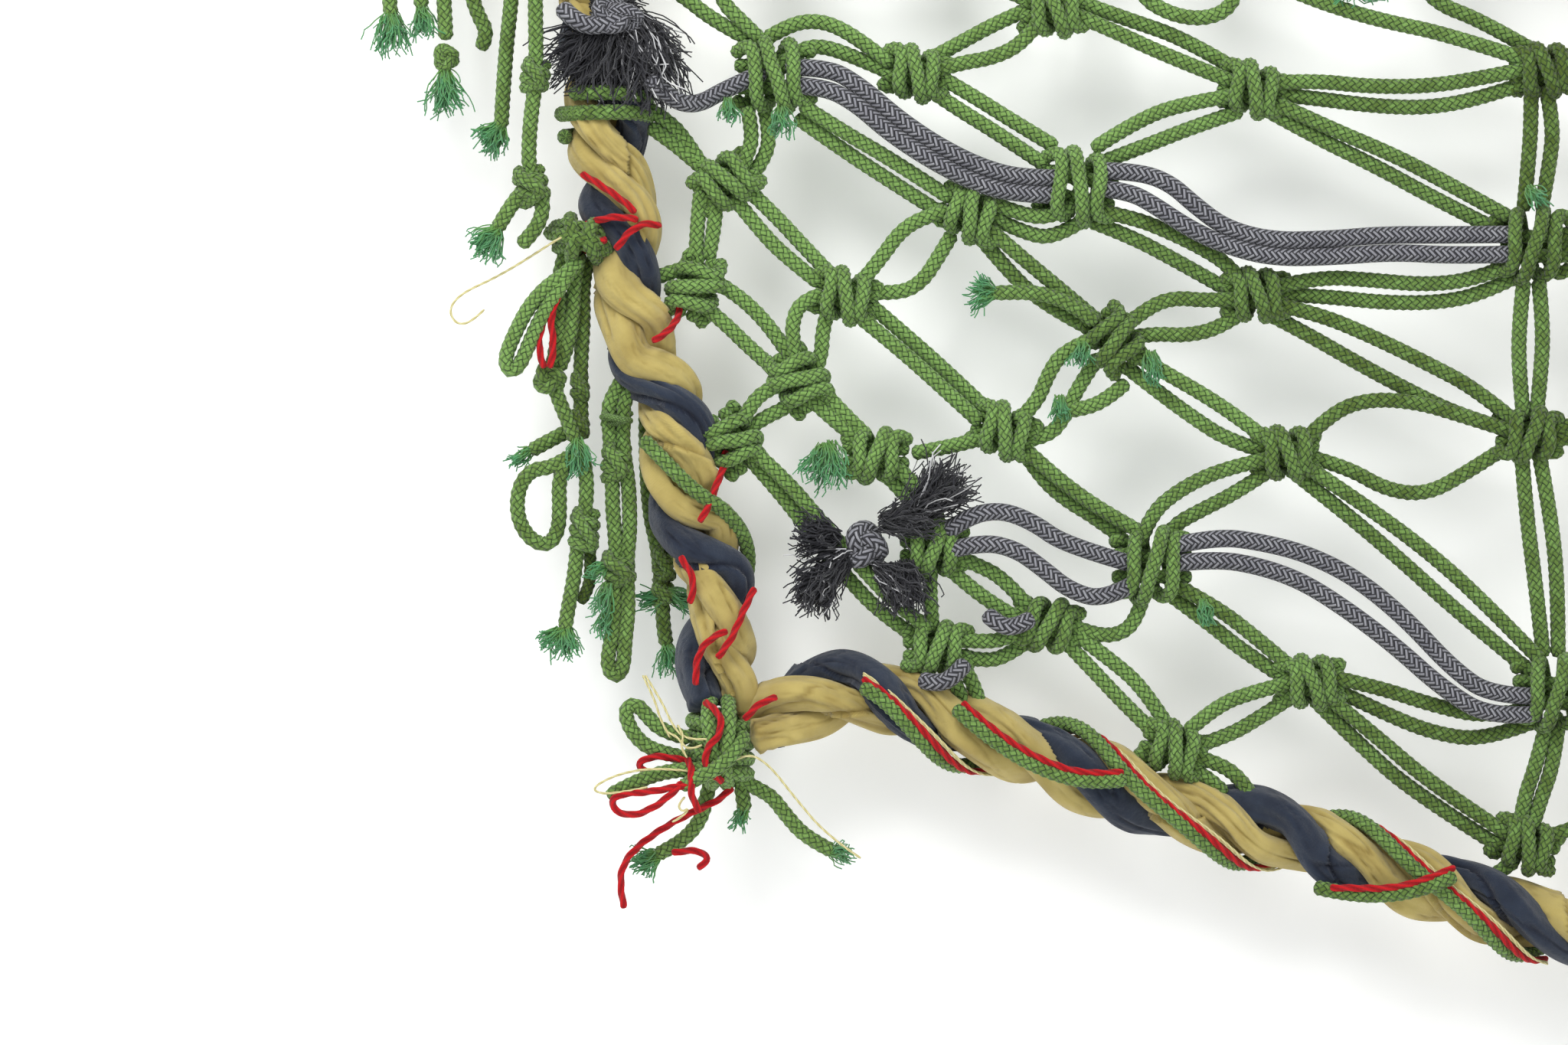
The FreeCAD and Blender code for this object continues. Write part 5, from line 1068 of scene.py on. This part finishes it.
RIGHT_LINE = [(0.457, -0.038), (0.463, -0.12), (0.46, -0.25), (0.454, -0.4), (0.456, -0.55), (0.463, -0.7),
    (0.464, -0.82), (0.46, -0.905)]
ROPE_LINES = {"top": TOP_LINE, "left": LEFT_LINE, "bottom": BOTTOM_LINE, "right": RIGHT_LINE}


def wound(name, ring, lay, start_angle, first, last, per_turn=12, slack=0.0, dwell=0.0):
    """Points of a strand that winds round one side's centreline between two distances. A
    negative lay winds it the other way; dwell makes it cross the front slower."""
    line = rope_line(name)
    gaps = np.linalg.norm(np.diff(line, axis=0), axis=1)
    along = np.concatenate([[0.0], np.cumsum(gaps)])
    last = along[-1] if last is None else last
    points = []
    count = max(4, int((last - first) / abs(lay) * per_turn))
    for step in range(count + 1):
        far = first + (last - first) * step / count
        here = Vector([float(np.interp(far, along, line[:, k])) for k in range(3)])
        ahead = Vector([float(np.interp(far + 0.004, along, line[:, k])) for k in range(3)])
        back = Vector([float(np.interp(far - 0.004, along, line[:, k])) for k in range(3)])
        side = (ahead - back).cross(Vector((0, 1, 0))).normalized()
        angle = math.radians(start_angle) + 2 * math.pi * far / lay
        angle -= dwell * math.cos(angle)
        place = here + side * ring * math.cos(angle) + Vector((0, ring * math.sin(angle), 0))
        place += noise.noise_vector(Vector((far * 22, start_angle, 3.0))) * slack
        points.append(tuple(place))
    return points


def rolled_cloth(route, seed):
    """A strand of rolled cloth. Long creases run along it, its free edge stands up as a
    lip, and it is gathered into pleats where it is pinched and swells in between."""
    crease_shade = []

    def crease(x, y, far, wide):
        """How deep in a crease a place is, from 0 to 1."""
        return math.exp(-(noise.noise(Vector((x, y, far))) / wide) ** 2)

    def radius(i, j, along):
        made = np.empty(i.shape)
        depth = np.empty(i.shape)
        for a in range(i.shape[0]):
            far = float(along[a, 0])
            swell = 1.22 + 0.36 * noise.noise(Vector((far * 20, seed, 0.5)))
            pinch = min(1.0, max(0.0, 2.2 * noise.noise(Vector((far * 15, seed * 3, 4.5)))))
            wander = 2.0 * noise.noise(Vector((far * 9, seed * 5, 8.5))) * math.pi + seed
            for b in range(i.shape[1]):
                t = 2 * math.pi * b / i.shape[1]
                x, y = math.cos(t), math.sin(t)
                fold = noise.noise(Vector((1.2 * x, 1.2 * y, far * 22 + seed * 7)))
                sunk = crease(0.8 * x + seed, 0.8 * y, far * 8, 0.032)
                sunk = max(sunk, 0.45 * crease(1.4 * x, 1.4 * y + seed, far * 13, 0.036))
                beside = (t - wander) % (2 * math.pi)
                lip = math.exp(-beside * 1.8) - 1.1 * math.exp(-((2 * math.pi - beside) * 3.5) ** 2)
                pleat = abs(math.sin(4 * t + 2.5 * noise.noise(Vector((far * 26, seed, 2.5))))) - 0.6
                made[a, b] = STRAND / 2 * (swell + 0.30 * fold - 0.20 * sunk + 0.24 * lip + (0.20 * pleat - 0.14) * pinch)
                # depth is how far in shade a place lies: in a crease, in the hollow under the lip, between pleats; the
                # finish paints it as shade
                depth[a, b] = max(sunk, -1.2 * lip, -0.9 * pleat * pinch)
        crease_shade.append(np.clip(depth, 0, 1))
        return np.maximum(made, STRAND * 0.30)

    # the tone handed on is this painted crease shade
    spots, quads, quad_map, tris, tri_map, tone = shell(smooth_line(route), 0.0026, 52, radius, 0.020)
    return spots, quads, quad_map, tris, tri_map, np.append(crease_shade[0].ravel(), (0.0, 0.0))


def cloth_finish(name, light, dark, thread):
    """Soft cotton twill with slanting ribs and mottled tone, darkened by painted shade in its creases."""
    material = plain_finish(name, 0.92, 0.25)
    tree = material.node_tree
    own_map = tree.nodes.new("ShaderNodeUVMap")
    own_map.uv_map = "skin"
    parts = tree.nodes.new("ShaderNodeSeparateXYZ")
    tree.links.new(own_map.outputs[0], parts.inputs[0])
    warp = calculate(tree, "MULTIPLY", parts.outputs[0], 2 * math.pi * thread)
    weft = calculate(tree, "MULTIPLY", parts.outputs[1], 2 * math.pi * round(thread * 0.27))
    rib = calculate(tree, "SINE", calculate(tree, "ADD", warp, weft))
    cross = calculate(tree, "SINE", calculate(tree, "SUBTRACT", calculate(tree, "MULTIPLY", weft, 2.0), warp))
    weave = calculate(tree, "ADD", calculate(tree, "MULTIPLY", rib, 0.5), calculate(tree, "MULTIPLY", cross, 0.35))
    crumple = mottle(tree, 110, 4.0)
    height = calculate(tree, "ADD", calculate(tree, "MULTIPLY", weave, 0.12), calculate(tree, "MULTIPLY", crumple, 1.6))
    raise_surface(tree, height, 0.0018, 0.8)
    share = calculate(tree, "ADD", calculate(tree, "MULTIPLY", mottle(tree, 34), 1.5), calculate(tree, "MULTIPLY", weave, 0.20))
    # painted shade: the deeper a place lies in a crease, the darker its colour
    sunk = tree.nodes.new("ShaderNodeAttribute")
    sunk.attribute_name = "tone"
    share = calculate(tree, "SUBTRACT", share, calculate(tree, "MULTIPLY", sunk.outputs["Fac"], 0.6))
    share = calculate(tree, "MINIMUM", calculate(tree, "MAXIMUM", calculate(tree, "SUBTRACT", share, 0.05), 0.0), 1.0)
    tree.links.new(blend_colours(tree, share, dark, light), tree.nodes["Principled BSDF"].inputs["Base Color"])
    return material


# each dark colour is both the cloth's mottled tone and the painted shade in its creases
ochre_cloth = cloth_finish("ochre_cloth", (0.57, 0.455, 0.150), (0.32, 0.23, 0.058), 90)
navy_cloth = cloth_finish("navy_cloth", (0.026, 0.038, 0.064), (0.005, 0.008, 0.020), 90)

# ring is how far a strand lies from the rope's centreline
for name, ring, lay, navy_angle in (("top", 0.0172, TOP_LAY, 40), ("left", 0.0165, SIDE_LAY, 132),
                                    ("bottom", 0.0156, -BOTTOM_LAY, 150), ("right", 0.0165, SIDE_LAY, 70)):
    for strand, behind, cloth, slot_name in (("navy_strand", 0, navy_cloth, "navy_cloth"),
                                             ("tan_strand_front", 120, ochre_cloth, "tan_cloth"),
                                             ("tan_strand_back", 240, ochre_cloth, "tan_cloth")):
        route = wound(name, ring, lay, navy_angle + behind, 0.0, None, slack=0.014 if name == "left" else 0.008)
        made = skin("%s_%s_cloth" % (name, strand), [rolled_cloth(route, len(name) + behind / 50)], cloth)
        settle(made, "net", slot_name, "%s_%s" % (name, strand))

# ---------------------------------------------------------------- turns of cord round the rope
# Where a net cord meets the rope it takes one turn round it.
ROPE = 0.0292            # the rope's radius over its strands
turns = []
for name, along in (
    ("left", 0.190), ("left", 0.204), ("top", 0.278), ("top", 0.316), ("top", 0.412), ("top", 0.458), ("top", 0.530),
    ("top", 0.574), ("top", 0.632), ("top", 0.678), ("top", 0.828), ("top", 0.872), ("right", 0.028), ("right", 0.130),
    ("right", 0.250), ("right", 0.410), ("right", 0.615), ("right", 0.730),
):
    turns.append(braid(wound(name, ROPE + 0.0065, 0.016, 90, along - 0.008, along + 0.009, 14), CORD, 0.45))
settle(skin("rope_turns", turns, green_braid), "net", "green_cord", "border_hitches")

# ---------------------------------------------------------------- lashing along the bottom
# Green cord, red wool and pale waxed twine wind together round the bottom rope, and
# short wraps of green and red bind the left one.
LASHING_LAY = -0.242     # it winds the same way as the bottom rope's strands
TWINE = 0.002


def twine(route, diameter=TWINE, tone=0.5):
    """Waxed twine of two plies."""
    lay = 4 * diameter

    def radius(i, j, along):
        return diameter / 2 * (0.95 + 0.1 * np.cos(2 * (2 * np.pi * i / 8) - 2 * np.pi * along / lay))

    return shell(smooth_line(route), 0.0014, 8, radius, lay, tone)


def laid_on(name, thick, *places):
    """A route that lies on the front of one side's rope, from its (x, z) places."""
    line = rope_line(name)
    points = []
    for x, z in places:
        off = min(math.hypot(x - spot[0], z - spot[2]) for spot in line)
        points.append((x, -math.sqrt(max(0.0, (ROPE + 0.005 + thick / 2) ** 2 - off ** 2)), z))
    return points


# its second colour is the painted shade in the grooves between the plies
pale_twine = twisted_finish("pale_twine", (0.72, 0.66, 0.34), (0.42, 0.36, 0.14), 2, 3, 0.6, 0.1, 0.0003)
settle(skin("green_wraps", [
    braid(wound("bottom", ROPE + 0.0035, LASHING_LAY, 69, 0.095, 0.700, 24, dwell=0.55), CORD, 0.35),
    braid(wound("left", ROPE + 0.0075, 0.260, -70, 0.470, 0.620), CORD, 0.4),
    braid(laid_on("bottom", CORD, (-0.182, -0.716), (-0.158, -0.738), (-0.118, -0.764), (-0.074, -0.778), (-0.044, -0.774)), CORD, 0.4),
    braid(laid_on("bottom", CORD, (0.110, -0.862), (0.136, -0.868), (0.172, -0.868), (0.204, -0.860), (0.222, -0.852)), CORD, 0.5),
], green_braid), "net", "green_cord", "green_lashing")
settle(skin("red_wraps", [
    wool(wound("bottom", ROPE + 0.0034, LASHING_LAY, 90, 0.095, 0.700, 24, dwell=0.55)),
    wool(laid_on("left", RED, (-0.484, -0.284), (-0.474, -0.290), (-0.462, -0.298), (-0.448, -0.308), (-0.440, -0.316))),
    wool(laid_on("left", RED, (-0.496, -0.340), (-0.492, -0.332), (-0.483, -0.325), (-0.468, -0.321), (-0.452, -0.319), (-0.438, -0.322))),
    wool(laid_on("left", RED, (-0.456, -0.346), (-0.449, -0.336), (-0.440, -0.328), (-0.430, -0.324), (-0.420, -0.326))),
    wool(laid_on("left", RED, (-0.491, -0.360), (-0.487, -0.352), (-0.483, -0.344), (-0.474, -0.338), (-0.464, -0.338))),
    wool(laid_on("left", RED, (-0.426, -0.420), (-0.416, -0.414), (-0.408, -0.404), (-0.404, -0.392), (-0.410, -0.380))),
    wool(laid_on("left", RED, (-0.368, -0.508), (-0.368, -0.520), (-0.375, -0.536), (-0.380, -0.552), (-0.388, -0.566))),
    wool(laid_on("left", RED, (-0.404, -0.594), (-0.397, -0.604), (-0.392, -0.616), (-0.396, -0.632))),
    wool(laid_on("left", RED, (-0.344, -0.620), (-0.350, -0.632), (-0.356, -0.646), (-0.364, -0.664), (-0.374, -0.676))),
    wool(laid_on("left", RED, (-0.366, -0.654), (-0.376, -0.658), (-0.387, -0.668), (-0.392, -0.684), (-0.391, -0.698))),
    wool(laid_on("bottom", 0.016, (-0.176, -0.712), (-0.152, -0.734), (-0.116, -0.757), (-0.076, -0.771), (-0.046, -0.768))),
    wool(laid_on("bottom", 0.016, (0.122, -0.862), (0.142, -0.862), (0.172, -0.862), (0.204, -0.853), (0.222, -0.845))),
    wool([(-0.384, -0.030, -0.712), (-0.376, -0.044, -0.716), (-0.370, -0.050, -0.726), (-0.372, -0.051, -0.738), (-0.382, -0.050, -0.748),
          (-0.384, -0.049, -0.760), (-0.378, -0.047, -0.770), (-0.370, -0.036, -0.776)]),
    wool([(-0.352, -0.034, -0.726), (-0.344, -0.038, -0.716), (-0.334, -0.038, -0.710), (-0.326, -0.034, -0.708)]),
    wool([(-0.398, -0.034, -0.758), (-0.394, -0.046, -0.764), (-0.395, -0.051, -0.776), (-0.394, -0.050, -0.790), (-0.388, -0.044, -0.800)]),
    wool([(-0.398, -0.030, -0.760), (-0.418, -0.030, -0.755), (-0.434, -0.030, -0.758), (-0.438, -0.030, -0.764),
          (-0.432, -0.030, -0.769), (-0.416, -0.030, -0.769), (-0.398, -0.030, -0.767)]),
    wool([(-0.388, -0.046, -0.776), (-0.408, -0.046, -0.780), (-0.430, -0.046, -0.784), (-0.450, -0.046, -0.785),
          (-0.459, -0.046, -0.790), (-0.457, -0.046, -0.799), (-0.440, -0.046, -0.804), (-0.414, -0.046, -0.790),
          (-0.402, -0.046, -0.776)]),
], red_wool), "net", "red_cord", "red_lashing")
settle(skin("twine_wraps", [
    twine(wound("bottom", ROPE + 0.0020, LASHING_LAY, 101, 0.095, 0.700, 24, dwell=0.55)),
    twine(wound("bottom", ROPE + 0.0024, LASHING_LAY, 106, 0.095, 0.700, 24, dwell=0.55)),
    twine([(-0.500, -0.034, -0.336), (-0.504, -0.034, -0.338), (-0.526, -0.030, -0.352), (-0.553, -0.028, -0.368),
           (-0.582, -0.026, -0.381), (-0.592, -0.026, -0.394), (-0.586, -0.026, -0.406), (-0.574, -0.026, -0.405),
           (-0.563, -0.026, -0.394)]),
    twine([(-0.390, -0.040, -0.768), (-0.420, -0.046, -0.764), (-0.450, -0.048, -0.768), (-0.470, -0.048, -0.777),
           (-0.474, -0.048, -0.783), (-0.460, -0.048, -0.786), (-0.430, -0.046, -0.780)]),
    twine([(-0.362, -0.040, -0.760), (-0.350, -0.040, -0.752), (-0.332, -0.040, -0.762), (-0.312, -0.038, -0.788),
           (-0.285, -0.036, -0.820), (-0.258, -0.034, -0.838)]),
    twine([(-0.432, -0.040, -0.690), (-0.418, -0.042, -0.712), (-0.412, -0.043, -0.726), (-0.404, -0.044, -0.738), (-0.392, -0.045, -0.742),
           (-0.380, -0.046, -0.741)]),
    twine([(-0.414, -0.040, -0.736), (-0.406, -0.046, -0.739), (-0.402, -0.047, -0.745), (-0.396, -0.046, -0.750), (-0.386, -0.046, -0.746)]),
    twine([(-0.406, -0.042, -0.730), (-0.400, -0.047, -0.738), (-0.404, -0.047, -0.748), (-0.398, -0.046, -0.756)]),
    twine([(-0.400, -0.044, -0.788), (-0.406, -0.048, -0.794), (-0.402, -0.049, -0.800), (-0.396, -0.048, -0.796), (-0.402, -0.047, -0.804),
           (-0.410, -0.044, -0.808)]),
    twine([(-0.434, -0.040, -0.690), (-0.424, -0.040, -0.710), (-0.420, -0.040, -0.726), (-0.412, -0.040, -0.740)]),
], pale_twine), "net", "pale_twine", "twine_lashing")

# ---------------------------------------------------------------- corner bindings
# At each corner the two ropes are bound with turns of green cord; the lower left one
# also has red wool and twine over them, and a bight of green cord left long.
ROPE_CORNERS = [(-0.496, -0.014), (0.457, -0.014), (-0.372, -0.746), (0.448, -0.940)]
bindings = []
for x, z in ROPE_CORNERS:
    # four turns round both ropes, then two over them
    turns_round = []
    for step in range(4 * 14 + 1):
        t = 2 * math.pi * step / 14
        turns_round.append((x + 0.023 * math.cos(t), 0.031 * math.sin(t), z + 0.024 - 0.0125 * step / 14))
    bindings.append(braid(turns_round, CORD, 0.3))
    for offset in (-0.007, 0.006):
        bindings.append(braid([(x + offset, 0.026, z + 0.034), (x + offset, -0.010, z + 0.038), (x + offset * 1.4, -0.038, z + 0.024),
                               (x + offset, -0.043, z + 0.002), (x + offset * 0.6, -0.038, z - 0.022),
                               (x + offset, -0.010, z - 0.036), (x + offset, 0.026, z - 0.032)], CORD, 0.2))
# one turn lies slantwise over the lower left binding
bindings.append(braid([(-0.352, -0.030, -0.738), (-0.356, -0.044, -0.748), (-0.372, -0.049, -0.764), (-0.390, -0.049, -0.772),
                       (-0.402, -0.040, -0.780)], CORD, 0.3))
side_tie = [
    [(-0.508, 0.004, -0.326), (-0.500, -0.020, -0.324), (-0.484, -0.026, -0.328), (-0.468, -0.022, -0.332), (-0.460, 0.004, -0.330)],
    [(-0.506, 0.004, -0.342), (-0.496, -0.020, -0.342), (-0.482, -0.026, -0.340), (-0.466, -0.020, -0.346), (-0.460, 0.004, -0.346)],
    [(-0.494, 0.000, -0.318), (-0.494, -0.026, -0.322), (-0.490, -0.034, -0.334), (-0.492, -0.028, -0.348), (-0.494, 0.000, -0.354)],
    [(-0.472, 0.000, -0.320), (-0.474, -0.026, -0.324), (-0.480, -0.034, -0.336), (-0.474, -0.028, -0.350), (-0.470, 0.000, -0.354)],
]
side_tie.append([(-0.512, -0.006, -0.330), (-0.502, -0.028, -0.334), (-0.486, -0.034, -0.336), (-0.470, -0.030, -0.340), (-0.462, -0.008, -0.344)])
bindings += [braid(route, 0.0115, 0.55) for route in side_tie]
bindings += [
    braid(flat(-0.02, (-0.396, -0.742), (-0.418, -0.737), (-0.431, -0.724), (-0.438, -0.715), (-0.447, -0.715), (-0.449, -0.725), (-0.44, -0.742), (-0.424, -0.753), (-0.398, -0.758)), CORD, 0.2),
    braid(flat(-0.036, (-0.372, -0.766), (-0.4, -0.765), (-0.436, -0.773), (-0.462, -0.788)), CORD, 0.3),
]
settle(skin("corner_bindings", bindings, green_braid), "net", "green_cord", "corner_lashings")

# ---------------------------------------------------------------- wall, floor and light
# A white wall that shows only from its front, a pale floor, and soft light from the upper
# left in front.
def backdrop(name, corners, colour, one_sided):
    mesh = bpy.data.meshes.new(name)
    mesh.from_pydata(corners, [], [(0, 1, 2, 3)])
    made = bpy.data.objects.new(name, mesh)
    bpy.context.scene.collection.objects.link(made)
    material = bpy.data.materials.new(name)
    material.use_nodes = True
    shader = material.node_tree.nodes["Principled BSDF"]
    shader.inputs["Base Color"].default_value = (*colour, 1)
    shader.inputs["Roughness"].default_value = 0.9
    if one_sided:
        # a lit white panel, so that what hangs before it doesn't grey it
        shader.inputs["Emission Color"].default_value = (1, 1, 1, 1)
        shader.inputs["Emission Strength"].default_value = 0.16
        tree = material.node_tree
        seen = tree.nodes.new("ShaderNodeNewGeometry")
        clear = tree.nodes.new("ShaderNodeBsdfTransparent")
        either = tree.nodes.new("ShaderNodeMixShader")
        tree.links.new(seen.outputs["Backfacing"], either.inputs[0])
        tree.links.new(shader.outputs[0], either.inputs[1])
        tree.links.new(clear.outputs[0], either.inputs[2])
        tree.links.new(either.outputs[0], tree.nodes["Material Output"].inputs["Surface"])
    mesh.materials.append(material)
    return made


WALL = CAD_HIGH[1] + 0.050
FLOOR = CAD_LOW[2] - 0.25
backdrop("wall", [(-3, WALL, FLOOR), (3, WALL, FLOOR), (3, WALL, 2), (-3, WALL, 2)], (0.95, 0.95, 0.94), True)
backdrop("floor", [(-3, -4, FLOOR), (3, -4, FLOOR), (3, 3, FLOOR), (-3, 3, FLOOR)], (0.80, 0.80, 0.79), False)

for name, place, size, power in (("main_light", (-1.1, -2.2, 1.5), 1.3, 62), ("fill_light", (1.8, -2.6, 0.4), 2.2, 16)):
    lamp = bpy.data.lights.new(name, "AREA")
    lamp.size = size
    lamp.energy = power
    holder = bpy.data.objects.new(name, lamp)
    holder.location = place
    holder.rotation_euler = (Vector((0, 0, -0.5)) - Vector(place)).to_track_quat("-Z", "Y").to_euler()
    bpy.context.scene.collection.objects.link(holder)

world = bpy.data.worlds.new("studio")
world.use_nodes = True
world.node_tree.nodes["Background"].inputs["Color"].default_value = (0.95, 0.97, 1.0, 1)
world.node_tree.nodes["Background"].inputs["Strength"].default_value = 0.75
bpy.context.scene.world = world
bpy.context.scene.view_settings.view_transform = "Standard"
